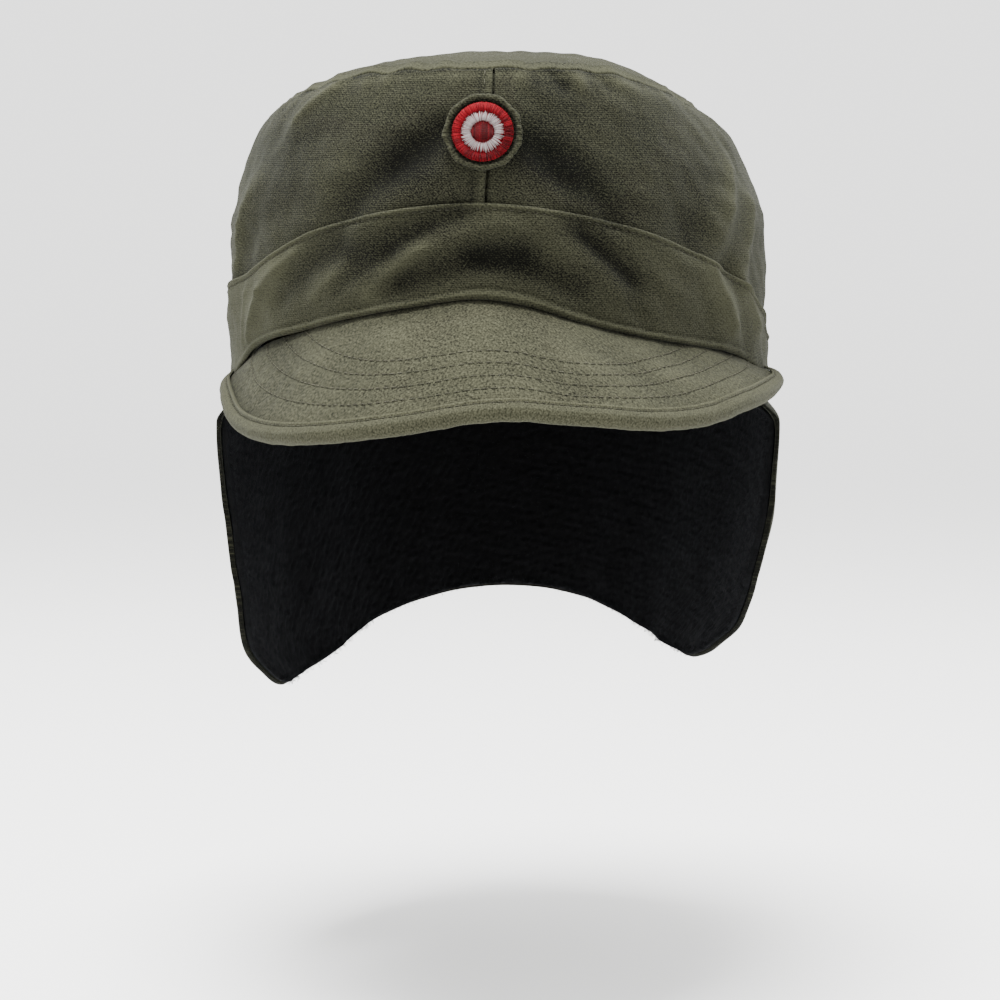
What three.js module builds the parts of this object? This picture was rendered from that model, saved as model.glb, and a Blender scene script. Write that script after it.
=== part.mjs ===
// Field cap: soft crown with a folded front band, a stiff bound peak, a round cockade and a
// fleece-lined ear and neck flap that hangs down from the rim.
// Millimetres, +Z up. The wearer looks along -Y and the origin is the middle of the rim's opening.
// Angles are degrees round the cap: 0 is the middle of the front, 90 the side at +X, 180 the back.
import * as THREE from 'three';

// Crown
const RIM_HALF_WIDTH = 89;
const RIM_HALF_LENGTH = 106;
const RIM_EGG = 0.05;
const FRONT_RISE = 28;
const TOP_HEIGHT = 99;
const TOP_INSET = 20;
const DOME_RISE = 14;
const DOME_SHIFT = 3;
const DOME_FULLNESS = 2.6;
const CROWN_CLOTH = 1.5;
const FOLD_DEPTH = 2.6;
const FOLD_WIDTH = 8;
const SIDE_COLUMNS = 36;
const COLUMN_CROWDING = 0.28;
const WALL_ROWS = 10;
const BAND_ROWS = 4;
const LOWEST_BAND = 0.07;

// Front band
const BAND_CLOTH = 1.2;
const BAND_LEFT_END = -126;
const BAND_RIGHT_END = 106;

// Peak and its bound edge
const PEAK_HALF_WIDTH_LEFT = 90.5;
const PEAK_HALF_WIDTH_RIGHT = 95.5;
const PEAK_REACH = 156;
const PEAK_CORNER_BACK = 10;
const PEAK_SQUARENESS = 2.3;
const PEAK_EDGE_DROP = 14;
const PEAK_CROWN = 2.4;
const PEAK_BOARD = 2;
const PEAK_LEFT_END = -75;
const PEAK_RIGHT_END = 81;
const PEAK_TIP_TURN = 12;
const PEAK_TIP_REACH = 0.3;
const PEAK_TIP_THINNING = 0.4;
const BINDING_TIP_THINNING = 0.6;
const BINDING_SHORT_OF_TIP = 4;
const BINDING_WIDTH = 6.5;
const BINDING_CLOTH = 1;
const BINDING_ROUNDING = 0.7;

// Cockade
const COCKADE_RADIUS = 12.5;
const COCKADE_ANGLE = -0.5;
const COCKADE_BELOW_TOP = 20;
const BACKING_CLOTH = 1.4;
const BACKING_RIM = 2.7;
const BACKING_RIM_WIDTH = 2.7;
const RED_RING_RADIUS = 9.6;
const WHITE_RING_RADIUS = 6.45;
const CENTRE_RADIUS = 3.4;
const THREAD_HEIGHT = 1.1;

// Ear and neck flap
const FLAP_CLOTH = 1.5;
const FLEECE = 2.2;
const FLAP_DROP = 111;
const FLAP_HALF_WIDTH = 96;
const FLAP_HALF_LENGTH = 107;
const FLAP_FRONT = 78;
const FLAP_TUCK = 9;
const FLAP_HANG = 5;
const FLAP_BLEND = 18;
const FLAP_HEM = 2.2;
const FLAP_CORNER = 0.3;
const FLAP_CORNER_POWER = 2.2;
const FLAP_CORNER_LEFT = 104;
const FLAP_CORNER_RIGHT = 114;
const FLAP_STRAIGHTNESS = 0.35;
const FLAP_ROWS = 10;
const FLAP_ROW_SPREAD = 1.25;
const FLAP_HEM_ANGLE = THREE.MathUtils.radToDeg(FLAP_HEM / FLAP_HALF_LENGTH);

// Between pieces that touch
const GAP = 0.3;

const degrees = THREE.MathUtils.degToRad;
const clamp = THREE.MathUtils.clamp;
const mix = THREE.MathUtils.lerp;

// Rows of a table become objects with a key for each named column
function table(columns, rows) {
  return rows.map((row) => Object.fromEntries(row.map((value, i) => [columns[i], value])));
}

// Smooth curve through a table's rows, flat past both of its ends
function along(rows, key, value, x) {
  const last = rows.length - 1;
  if (x <= rows[0][key]) return rows[0][value];
  if (x >= rows[last][key]) return rows[last][value];
  let i = 0;
  while (x > rows[i + 1][key]) i += 1;
  const slope = (k) => {
    if (k === 0 || k === last) return 0;
    const before = rows[k][key] - rows[k - 1][key];
    const after = rows[k + 1][key] - rows[k][key];
    const rise = (rows[k][value] - rows[k - 1][value]) / before;
    const next = (rows[k + 1][value] - rows[k][value]) / after;
    return (rise * after + next * before) / (before + after);
  };
  const step = rows[i + 1][key] - rows[i][key];
  const t = (x - rows[i][key]) / step;
  return rows[i][value] * (1 + 2 * t) * (1 - t) ** 2 + rows[i + 1][value] * t * t * (3 - 2 * t)
    + step * slope(i) * t * (1 - t) ** 2 - step * slope(i + 1) * t * t * (1 - t);
}

// The crown's lower edge, as shares of FRONT_RISE: it arches up over the peak
const RIM_LINE = table(['angle', 'height'], [
  [-85, 0], [-72, 0.077], [-60, 0.351], [-45, 0.59], [-30, 0.79], [-15, 0.932], [0, 1.019],
  [8, 0.952], [20, 0.758], [35, 0.572], [50, 0.431], [65, 0.287], [80, 0.08], [95, 0],
]);

// The seam round the top panel, as shares of TOP_HEIGHT: highest in front
const TOP_LINE = table(['angle', 'height'], [
  [-180, 0.86], [-150, 0.85], [-120, 0.86], [-90, 0.885], [-60, 0.94], [-30, 0.997], [0, 1.009],
  [30, 0.997], [60, 0.925], [90, 0.875], [120, 0.855], [150, 0.85], [180, 0.86],
]);

// The front band's upper edge, as shares of TOP_HEIGHT
const BAND_LINE = table(['angle', 'height'], [
  [-150, 0], [-126, 0.075], [-110, 0.155], [-90, 0.255], [-75, 0.31], [-60, 0.364], [-40, 0.485],
  [-20, 0.549], [0, 0.569], [20, 0.532], [40, 0.463], [60, 0.345], [75, 0.237], [90, 0.14],
  [106, 0.065], [120, 0],
]);

// How far the wall stands out from the rim, up its height, as shares of TOP_INSET
const WALL_PROFILE = table(['up', 'front', 'left', 'right', 'back'], [
  [0, 0, 0, 0, 0], [0.2, 0.1, 0.06, 0.04, 0.05], [0.4, 0.14, 0.075, 0.06, 0.05],
  [0.6, 0.1, 0.056, 0, 0], [0.75, 0.02, -0.135, -0.2, -0.1],
  [0.88, -0.12, -0.341, -0.47, -0.35], [0.95, -0.24, -0.522, -0.74, -0.55],
  [1, -0.36, -0.734, -1.02, -0.75],
]);

// Folds of the cloth, from one end to the other. Angles in degrees, up as a share of the wall's
// height, width of FOLD_WIDTH and depth of FOLD_DEPTH: a valley is negative, a ridge positive
const FOLDS = table(['angle', 'up', 'toAngle', 'toUp', 'width', 'depth'], [
  [-9.5, 0.7, -29, 0.45, 1, -0.9], [9, 0.65, 26.5, 0.44, 1, -0.6],
  [-38.5, 0.94, -48, 0.84, 0.9, 0.5], [63.5, 0.7, 54.5, 0.4, 0.9, 0.7],
  [71.5, 0.6, 64.5, 0.34, 0.8, 0.5], [-61.5, 0.62, -72, 0.36, 1, 0.7],
  [46, 0.42, 59.5, 0.3, 0.8, -0.5], [-6, 0.36, -29, 0.22, 0.9, -0.7],
  [-33, 0.29, -48, 0.16, 0.8, -0.6], [7, 0.2, -17, 0.1, 0.8, -0.7],
  [-1, 0.17, 19, 0.125, 0.8, -0.6], [18.5, 0.35, 31.5, 0.19, 0.8, -0.6],
  [52, 0.3, 60, 0.09, 0.8, 0.6], [62.5, 0.31, 73, 0.14, 0.8, 0.5],
  [-51.5, 0.24, -62, 0.1, 0.9, 0.6], [118, 0.8, 136, 0.45, 1.5, -0.5],
  [-122, 0.75, -140, 0.4, 1.5, -0.5], [165, 0.5, 150, 0.15, 1.3, -0.4],
]);

// Height of the peak's edge below the rim's plane, as shares of PEAK_EDGE_DROP, by its own angle
const PEAK_EDGE = table(['angle', 'drop'], [
  [-90, 0.12], [-80, 0.2], [-61, 0.87], [-50, 1], [-41, 1], [-30, 0.9], [-12, 0.62], [5, 0.3],
  [12, 0.38], [20, 0.46], [28, 0.56], [36, 0.59], [45, 0.54], [55, 0.36], [65, 0.25], [77, 0.1],
  [90, 0],
]);

// The flap's width as shares of FLAP_HALF_WIDTH, down its drop as a share of FLAP_DROP
const FLAP_LEAN = table(['down', 'left', 'right', 'back'], [
  [0, 0.975, 0.975, 1], [0.15, 0.987, 0.992, 1], [0.3, 0.985, 0.978, 0.99],
  [0.45, 0.968, 0.955, 0.975], [0.6, 0.947, 0.915, 0.955], [0.75, 0.922, 0.865, 0.935],
  [0.9, 0.885, 0.77, 0.915], [1, 0.83, 0.71, 0.9],
]);

// The flap's lower edge, as shares of FLAP_DROP
const FLAP_EDGE = table(['angle', 'drop'], [
  [-180, 0.76], [-155, 0.81], [-130, 0.94], [-105, 1], [-90, 0.985], [90, 0.92], [105, 0.92],
  [120, 0.92], [140, 0.87], [160, 0.79], [180, 0.76],
]);

// One closed body between two faces that share a grid: a column at each of a list's places and
// rows from 0 to 1. ring joins the last column to the first, pole draws row 0 in to one point
function sheet(places, rows, face, back, { ring = false, pole = false } = {}) {
  const across = places.length;
  const columns = ring ? across : across - 1;
  const layerSize = pole ? 1 + rows * across : (rows + 1) * across;
  const points = [];
  const faces = [];
  const index = (layer, c, r) => {
    if (pole && r === 0) return layer * layerSize;
    return layer * layerSize + (pole ? 1 + (r - 1) * across : r * across) + (c % across);
  };
  for (const surface of [face, back]) {
    for (let r = 0; r <= rows; r += 1) {
      for (let c = 0; c < (pole && r === 0 ? 1 : across); c += 1) {
        points.push(...surface(places[c], r / rows).toArray());
      }
    }
  }
  const quad = (a, b, c, d) => {
    if (a !== b) faces.push(a, b, c);
    if (c !== d) faces.push(a, c, d);
  };
  for (let c = 0; c < columns; c += 1) {
    for (let r = 0; r < rows; r += 1) {
      quad(index(0, c, r), index(0, c + 1, r), index(0, c + 1, r + 1), index(0, c, r + 1));
      quad(index(1, c, r), index(1, c, r + 1), index(1, c + 1, r + 1), index(1, c + 1, r));
    }
    if (!pole) quad(index(0, c + 1, 0), index(0, c, 0), index(1, c, 0), index(1, c + 1, 0));
    quad(index(0, c, rows), index(0, c + 1, rows), index(1, c + 1, rows), index(1, c, rows));
  }
  for (let r = 0; r < rows && !ring; r += 1) {
    quad(index(0, 0, r), index(0, 0, r + 1), index(1, 0, r + 1), index(1, 0, r));
    quad(index(0, columns, r + 1), index(0, columns, r), index(1, columns, r),
      index(1, columns, r + 1));
  }
  return body(points, faces);
}

// One closed body that carries an outline, a list of 2-D points, through a row of frames
function sweep(outline, frames) {
  const points = [];
  const faces = [];
  const sides = outline.length;
  if (THREE.ShapeUtils.isClockWise(outline)) outline.reverse();
  for (const { centre, out, up } of frames) {
    for (const point of outline) {
      points.push(...centre.clone().addScaledVector(out, point.x).addScaledVector(up, point.y)
        .toArray());
    }
  }
  for (let s = 0; s < frames.length - 1; s += 1) {
    for (let k = 0; k < sides; k += 1) {
      const a = s * sides + k;
      const b = s * sides + ((k + 1) % sides);
      faces.push(a, b, b + sides, a, b + sides, a + sides);
    }
  }
  const last = (frames.length - 1) * sides;
  for (const [a, b, c] of THREE.ShapeUtils.triangulateShape(outline, [])) {
    faces.push(c, b, a, last + a, last + b, last + c);
  }
  return body(points, faces);
}

// A geometry from points and triangles, turned so that its faces point out
function body(points, faces) {
  let volume = 0;
  const corner = (i) => new THREE.Vector3().fromArray(points, 3 * i);
  for (let i = 0; i < faces.length; i += 3) {
    volume += corner(faces[i]).dot(corner(faces[i + 1]).cross(corner(faces[i + 2])));
  }
  if (volume < 0) faces.reverse();
  const geometry = new THREE.BufferGeometry();
  geometry.setAttribute('position', new THREE.Float32BufferAttribute(points, 3));
  geometry.setIndex(faces);
  geometry.computeVertexNormals();
  return geometry;
}

// The rim's oval and what stands on it
function oval(angle, halfWidth, halfLength) {
  const turn = degrees(angle);
  const egg = 1 - RIM_EGG * Math.cos(turn);
  return new THREE.Vector3(halfWidth * Math.sin(turn) * egg, -halfLength * Math.cos(turn), 0);
}

function outward(angle) {
  const step = 0.01;
  const before = oval(angle - step, RIM_HALF_WIDTH, RIM_HALF_LENGTH);
  const after = oval(angle + step, RIM_HALF_WIDTH, RIM_HALF_LENGTH);
  return new THREE.Vector3(after.y - before.y, before.x - after.x, 0).normalize();
}

const rimHeight = (angle) => FRONT_RISE * along(RIM_LINE, 'angle', 'height', angle);
const topHeight = (angle) => TOP_HEIGHT * along(TOP_LINE, 'angle', 'height', angle);
const bandHeight = (angle) => TOP_HEIGHT * along(BAND_LINE, 'angle', 'height', angle);

function bulge(angle, up) {
  const forward = Math.cos(degrees(angle));
  const side = Math.sin(degrees(angle)) ** 2;
  const end = forward > 0 ? 'front' : 'back';
  return TOP_INSET * (forward ** 2 * along(WALL_PROFILE, 'up', end, up)
    + side * along(WALL_PROFILE, 'up', angle < 0 ? 'left' : 'right', up));
}

function folds(angle, up) {
  const reach = degrees((RIM_HALF_WIDTH + RIM_HALF_LENGTH) / 2);
  const here = new THREE.Vector2(angle * reach, up * TOP_HEIGHT);
  let sum = 0;
  for (const fold of FOLDS) {
    const from = new THREE.Vector2(fold.angle * reach, fold.up * TOP_HEIGHT);
    const run = new THREE.Vector2(fold.toAngle * reach, fold.toUp * TOP_HEIGHT).sub(from);
    const t = clamp(here.clone().sub(from).dot(run) / run.lengthSq(), 0, 1);
    const away = here.distanceTo(from.addScaledVector(run, t)) / (FOLD_WIDTH * fold.width);
    sum += fold.depth * Math.exp(-away * away);
  }
  return FOLD_DEPTH * sum;
}

// A point of the crown's wall, from 0 at the rim to 1 at the top seam, moved out by a distance
function smoothWall(angle, up, out) {
  return oval(angle, RIM_HALF_WIDTH, RIM_HALF_LENGTH)
    .addScaledVector(outward(angle), bulge(angle, up) + out)
    .setZ(mix(rimHeight(angle), topHeight(angle), up));
}

const wall = (angle, up, out) => smoothWall(angle, up, folds(angle, up) + out);

const wallShare = (angle, height) => (height - rimHeight(angle))
  / (topHeight(angle) - rimHeight(angle));

// Every piece round the cap has its columns at the same angles, closer together in front, where
// the folds are. The two sides stop half a gap short of the seams between them
const frontReach = RIM_HALF_WIDTH * (1 - RIM_EGG);
const seamAngle = THREE.MathUtils.radToDeg(GAP / 2 / frontReach);
const rightAngles = Array.from({ length: SIDE_COLUMNS + 1 }, (_, i) => {
  const t = i / SIDE_COLUMNS;
  return mix(seamAngle, 180 - seamAngle, mix(t, t ** 3, COLUMN_CROWDING));
});
const leftAngles = rightAngles.map((angle) => -angle).toReversed();
const roundAngles = [...leftAngles, ...rightAngles];
const anglesBetween = (from, to) => [
  from, ...roundAngles.filter((angle) => angle > from + 1 && angle < to - 1), to,
];

// The wall's lower rows lie behind the front band's own rows
function wallRow(angle, v) {
  const bandRow = BAND_ROWS / WALL_ROWS;
  const low = Math.max(LOWEST_BAND, wallShare(angle, bandHeight(angle)));
  const high = wallShare(angle, topHeight(angle) - CROWN_CLOTH - GAP);
  return v <= bandRow ? low * v / bandRow : mix(low, high, (v - bandRow) / (1 - bandRow));
}

function crownSide(angles) {
  const face = (out) => (angle, v) => wall(angle, wallRow(angle, v), out);
  return sheet(angles, WALL_ROWS, face(0), face(-CROWN_CLOTH));
}

// The top panel: a low dome whose edge covers the side panels' upper ends
function crownTop() {
  const middle = (topHeight(0) + topHeight(180)) / 2;
  const face = (drop) => (angle, v) => {
    const edge = wall(angle, 1, 0);
    const height = mix(middle, edge.z, v * v) + DOME_RISE * (1 - v ** DOME_FULLNESS) - drop;
    return new THREE.Vector3(mix(DOME_SHIFT, edge.x, v), edge.y * v, height);
  };
  return sheet(roundAngles, 4, face(0), face(CROWN_CLOTH), { ring: true, pole: true });
}

function frontBand() {
  const face = (out) => (angle, v) => wall(angle, v * wallShare(angle, bandHeight(angle)), out);
  const angles = anglesBetween(BAND_LEFT_END, BAND_RIGHT_END);
  return sheet(angles, BAND_ROWS, face(GAP + BAND_CLOTH), face(GAP));
}

// The peak's own angle runs from -90 at its left tip to 90 at its right tip. Towards its tips the
// peak sinks by what the binding stands over it, so that the binding passes below the rim
const bindingStand = GAP + BINDING_CLOTH;

function peakRoot(peakAngle) {
  const angle = mix(PEAK_LEFT_END, PEAK_RIGHT_END, (peakAngle + 90) / 180);
  const tip = clamp((Math.abs(peakAngle) - 90 + 2 * PEAK_TIP_TURN) / PEAK_TIP_TURN, 0, 1);
  const sink = GAP + (bindingStand + GAP) * tip;
  return wall(angle, 0, GAP - CROWN_CLOTH).setZ(rimHeight(angle) - sink);
}

function taper(peakAngle, tipShare) {
  const tip = THREE.MathUtils.smoothstep(Math.abs(peakAngle), 90 - 2 * PEAK_TIP_TURN, 90);
  return mix(1, tipShare, tip);
}

function peakEdge(peakAngle) {
  const turn = degrees(peakAngle);
  const power = 2 / PEAK_SQUARENESS;
  const halfWidth = peakAngle < 0 ? -PEAK_HALF_WIDTH_LEFT : PEAK_HALF_WIDTH_RIGHT;
  const far = new THREE.Vector3(
    halfWidth * Math.abs(Math.sin(turn)) ** power,
    -PEAK_CORNER_BACK - (PEAK_REACH - PEAK_CORNER_BACK) * Math.cos(turn) ** power,
    -PEAK_EDGE_DROP * along(PEAK_EDGE, 'angle', 'drop', peakAngle),
  );
  const tip = clamp((Math.abs(peakAngle) - 90 + PEAK_TIP_TURN) / PEAK_TIP_TURN, 0, 1);
  return peakRoot(peakAngle).lerp(far, mix(PEAK_TIP_REACH, 1, Math.sqrt(1 - tip * tip)));
}

function peakFace(peakAngle, v) {
  const point = peakRoot(peakAngle).lerp(peakEdge(peakAngle), v);
  point.z += PEAK_CROWN * Math.cos(degrees(peakAngle)) ** 2 * 4 * v * (1 - v);
  return point;
}

function peakNormal(peakAngle, v) {
  const step = 0.5;
  const a = clamp(peakAngle, -90 + step, 90 - step);
  const across = peakFace(a + step, v).sub(peakFace(a - step, v));
  const down = peakFace(a, clamp(v + 0.02, 0, 1)).sub(peakFace(a, clamp(v - 0.02, 0, 1)));
  return down.cross(across).normalize();
}

const peakAngles = anglesBetween(PEAK_LEFT_END, PEAK_RIGHT_END).map(
  (rootAngle) => mix(-90, 90, (rootAngle - PEAK_LEFT_END) / (PEAK_RIGHT_END - PEAK_LEFT_END)),
);

function peak() {
  const face = (depth) => (angle, v) => {
    const inward = -depth * taper(angle, PEAK_TIP_THINNING);
    return peakFace(angle, v).addScaledVector(peakNormal(angle, v), inward);
  };
  return sheet(peakAngles, 5, face(0), face(PEAK_BOARD));
}

function peakBinding() {
  const inner = PEAK_BOARD / 2 + GAP;
  const outer = inner + BINDING_CLOTH;
  const lip = bindingStand - BINDING_WIDTH;
  const shoulder = BINDING_ROUNDING * bindingStand;
  const outline = [
    [lip, outer], [0, outer], [shoulder, BINDING_ROUNDING * outer], [bindingStand, 0],
    [shoulder, -BINDING_ROUNDING * outer], [0, -outer], [lip, -outer], [lip, -inner],
    [GAP, -inner], [GAP, inner], [lip, inner],
  ].map(([x, y]) => new THREE.Vector2(x, y));
  const frameAt = (angle) => {
    const up = peakNormal(angle, 1);
    const run = peakEdge(angle + 0.5).sub(peakEdge(angle - 0.5));
    const out = run.cross(up).normalize().multiplyScalar(taper(angle, BINDING_TIP_THINNING));
    const board = PEAK_BOARD * taper(angle, PEAK_TIP_THINNING);
    const centre = peakEdge(angle).addScaledVector(up, -board / 2);
    return { centre, out, up: up.multiplyScalar(taper(angle, BINDING_TIP_THINNING)) };
  };
  const end = 90 - BINDING_SHORT_OF_TIP;
  const inside = peakAngles.filter((angle) => Math.abs(angle) < end - 1);
  return sweep(outline, [-end, ...inside, end].map(frameAt));
}

// A point over the crown's wall, by its distance and turn from the cockade's middle
function onCockade(radius, turn, out) {
  const angle = COCKADE_ANGLE + radius * Math.cos(turn) / (degrees(1) * frontReach);
  const height = TOP_HEIGHT - COCKADE_BELOW_TOP + radius * Math.sin(turn);
  return smoothWall(angle, wallShare(angle, height), out);
}

function disc(rings, radiusAt, outAt, floor) {
  const turns = Array.from({ length: 24 }, (_, i) => degrees(15 * i));
  const face = (turn, v) => onCockade(radiusAt(v), turn, outAt(v));
  const back = (turn, v) => onCockade(radiusAt(v), turn, floor);
  return sheet(turns, rings, face, back, { ring: true, pole: radiusAt(0) === 0 });
}

function backing() {
  const inner = COCKADE_RADIUS - BACKING_RIM_WIDTH;
  const profile = table(['at', 'radius', 'out'], [
    [0, 0, BACKING_CLOTH], [0.25, inner, BACKING_CLOTH],
    [0.5, inner + 0.2 * BACKING_RIM_WIDTH, BACKING_RIM],
    [0.75, inner + 0.8 * BACKING_RIM_WIDTH, BACKING_RIM], [1, COCKADE_RADIUS, BACKING_CLOTH],
  ]);
  const row = (v) => profile[Math.round(v * 4)];
  return disc(4, (v) => row(v).radius, (v) => GAP + row(v).out, GAP);
}

function threadRing(innerRadius, outerRadius) {
  const floor = 2 * GAP + BACKING_CLOTH;
  const radiusAt = (v) => mix(innerRadius, outerRadius, v);
  return disc(1, radiusAt, () => floor + THREAD_HEIGHT, floor);
}

// The flap hangs from inside the rim. depth runs down from the rim's plane
function flapPoint(angle, depth, inward) {
  const down = depth / FLAP_DROP;
  const forward = Math.cos(degrees(angle));
  const side = angle < 0 ? 'left' : 'right';
  const lean = along(FLAP_LEAN, 'down', side, down);
  const sine = Math.sin(degrees(angle));
  const straight = Math.sign(sine) * (1 - (1 - Math.abs(sine)) * (forward > 0 ? FLAP_STRAIGHTNESS : 1));
  const hanging = new THREE.Vector3(
    FLAP_HALF_WIDTH * lean * straight,
    -FLAP_HALF_LENGTH * (forward > 0 ? 1 : along(FLAP_LEAN, 'down', 'back', down)) * forward,
    0,
  ).addScaledVector(outward(angle), -inward);
  const tucked = wall(angle, 0, -CROWN_CLOTH - GAP - inward);
  const blend = THREE.MathUtils.smoothstep(depth, FLAP_HANG, FLAP_HANG + FLAP_BLEND);
  return tucked.lerp(hanging, blend).setZ(-depth);
}

function flapReach(angle) {
  const cornerEnd = angle < 0 ? FLAP_CORNER_LEFT : FLAP_CORNER_RIGHT;
  const corner = clamp((Math.abs(angle) - FLAP_FRONT) / (cornerEnd - FLAP_FRONT), 0, 1);
  const round = (1 - (1 - corner) ** FLAP_CORNER_POWER) ** (1 / FLAP_CORNER_POWER);
  return FLAP_DROP * along(FLAP_EDGE, 'angle', 'drop', angle) * mix(FLAP_CORNER, 1, round);
}

// Both layers share their columns and rows. The lining leaves out the outermost ones all round,
// so that the shell shows past it as a hem
function flapLayer(inward, thickness, lining) {
  const steps = [0, 1, 2, 3.5].map((step) => FLAP_FRONT + step * FLAP_HEM_ANGLE);
  const right = [...steps, ...rightAngles.filter((angle) => angle > steps[3] + 1), 180];
  const shown = lining ? right.slice(1) : right;
  const angles = [...shown, ...shown.slice(0, -1).map((angle) => -angle).toReversed()];
  const rows = lining ? FLAP_ROWS - 2 : FLAP_ROWS;
  const face = (extra) => (angle, v) => {
    const top = -(FLAP_TUCK + rimHeight(angle));
    const low = flapReach(angle);
    const row = Math.round(v * rows) + (lining ? 1 : 0);
    const share = ((row - 1) / (FLAP_ROWS - 2)) ** FLAP_ROW_SPREAD;
    const depth = row === 0 ? top : row === FLAP_ROWS ? low
      : mix(top + FLAP_HEM, low - FLAP_HEM, share);
    return flapPoint(angle, depth, inward + extra);
  };
  return sheet(angles, rows, face(0), face(thickness));
}

// Cloth and thread
function cloth(color, roughness) {
  return new THREE.MeshStandardMaterial({ color, roughness, metalness: 0 });
}

const crownCloth = cloth(0x53564a, 0.92);
const peakCloth = cloth(0x6a6d57, 0.9);
const fleece = cloth(0x121213, 1);
const redThread = cloth(0xa3202c, 0.6);
const whiteThread = cloth(0xe4dfda, 0.6);

const cap = new THREE.Group();

function piece(name, geometry, material) {
  const mesh = new THREE.Mesh(geometry, material);
  mesh.name = name;
  cap.add(mesh);
}

piece('crown_side_left', crownSide(leftAngles), crownCloth);
piece('crown_side_right', crownSide(rightAngles), crownCloth);
piece('crown_top', crownTop(), crownCloth);
piece('front_band', frontBand(), crownCloth);
piece('peak', peak(), peakCloth);
piece('peak_binding', peakBinding(), peakCloth);
piece('cockade_backing', backing(), crownCloth);
piece('cockade_red_ring', threadRing(WHITE_RING_RADIUS + GAP, RED_RING_RADIUS), redThread);
piece('cockade_white_ring', threadRing(CENTRE_RADIUS + GAP, WHITE_RING_RADIUS), whiteThread);
piece('cockade_centre', threadRing(0, CENTRE_RADIUS), redThread);
piece('flap_shell', flapLayer(0, FLAP_CLOTH, false), crownCloth);
piece('flap_lining', flapLayer(FLAP_CLOTH + GAP, FLEECE, true), fleece);

export default cap;
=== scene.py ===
# Field cap: crown, front band, bound peak, embroidered cockade and fleece-lined flap, as they look.
# Lengths are millimetres in this script and metres in its meshes. The wearer looks along -Y and
# the origin is the middle of the rim's opening. Angles round the cap are degrees: 0 is the middle
# of the front, 90 the side at +X, 180 the back. "Up" is a share of the height from the rim to the
# top seam. A tone makes a piece lighter or darker in places, -1 to 1.
# Much of the tone is painted light and shade; the rest is the cloth's and thread's own unevenness and wear.
import math
import bpy
import bmesh
import numpy as np
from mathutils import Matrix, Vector


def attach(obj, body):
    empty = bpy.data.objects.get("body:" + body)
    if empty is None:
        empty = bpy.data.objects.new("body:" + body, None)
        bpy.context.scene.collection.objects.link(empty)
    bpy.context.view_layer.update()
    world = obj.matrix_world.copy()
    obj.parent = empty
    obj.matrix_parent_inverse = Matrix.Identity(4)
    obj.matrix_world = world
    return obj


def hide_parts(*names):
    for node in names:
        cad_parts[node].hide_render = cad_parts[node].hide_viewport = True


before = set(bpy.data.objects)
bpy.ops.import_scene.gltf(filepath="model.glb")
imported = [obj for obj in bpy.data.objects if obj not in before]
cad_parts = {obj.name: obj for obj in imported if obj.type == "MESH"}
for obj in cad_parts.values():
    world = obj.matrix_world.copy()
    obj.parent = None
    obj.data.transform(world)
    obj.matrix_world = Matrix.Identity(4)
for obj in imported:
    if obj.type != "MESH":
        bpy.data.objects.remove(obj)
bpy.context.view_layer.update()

MM = 0.001

# Crown
RIM_HALF_WIDTH = 89
RIM_HALF_LENGTH = 106
RIM_EGG = 0.05
FRONT_RISE = 28
TOP_HEIGHT = 99
TOP_INSET = 20
DOME_RISE = 13.3
DOME_SHIFT = 9
DOME_FULLNESS = 2.6
CROWN_CLOTH = 1.5
FOLD_DEPTH = 3.1
FOLD_WIDTH = 8
PUCKER_DEPTH = 0.75
TOP_PUCKER_DEPTH = 0.4
SEAM_ROLL = 0.9
SEAM_LEAN = 1.7
LAP_HEIGHT = 0.8
LAP_WIDTH = 2.9
TAPE_CLOTH = 0.7
TAPE_SET_IN = 0.9
TAPE_HALF_WIDTH = 7
BACK_STITCH_IN = 3.4

# Front band
BAND_CLOTH = 1.2
BAND_LEFT_END = -126
BAND_RIGHT_END = 106
BAND_STAND = 0.15
BAND_BEAD = 0.4
BAND_STITCH_DOWN = 1.9
HEM_BEAD = 0.75
HEM_HEIGHT = 0.9
HEM_DROP = 0.8
HEM_TIP_DROP = 3.4
HEM_TIP_FLARE = 1.8

# Peak and its bound edge
PEAK_HALF_WIDTH_LEFT = 90.5
PEAK_HALF_WIDTH_RIGHT = 95.5
PEAK_REACH = 156
PEAK_CORNER_BACK = 10
PEAK_SQUARENESS = 2.3
PEAK_EDGE_DROP = 14
PEAK_CROWN = 2.4
PEAK_BOARD = 2
PEAK_LEFT_END = -75
PEAK_RIGHT_END = 81
PEAK_TIP_TURN = 12
PEAK_TIP_REACH = 0.3
PEAK_TIP_THINNING = 0.4
PEAK_TIP_SINK = 0.1
PEAK_ROWS = 4
PEAK_FIRST_ROW = 11
PEAK_ROW_PITCH = 6.3
PEAK_ROW_SPREAD = 0.47
PEAK_QUILTING = 0.12
BINDING_TIP_THINNING = 0.6
BINDING_END = 88.5
BINDING_WIDTH = 6.5
BINDING_CLOTH = 1
BINDING_STITCH_IN = 1.5

# Cockade
COCKADE_RADIUS = 12.5
COCKADE_ANGLE = -0.5
COCKADE_HEIGHT = 79.5
BACKING_CLOTH = 1.4
BACKING_CORNERS = 9
BACKING_CORNER_DEPTH = 0.4
RED_RING_RADIUS = 9.6
WHITE_RING_RADIUS = 6.45
CENTRE_RADIUS = 3.4
RED_THREAD_HEIGHT = 1.1
WHITE_THREAD_HEIGHT = 0.95
CENTRE_THREADS = 17
CENTRE_THREAD = 0.3
SATIN_ROUNDNESS = 0.55

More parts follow.
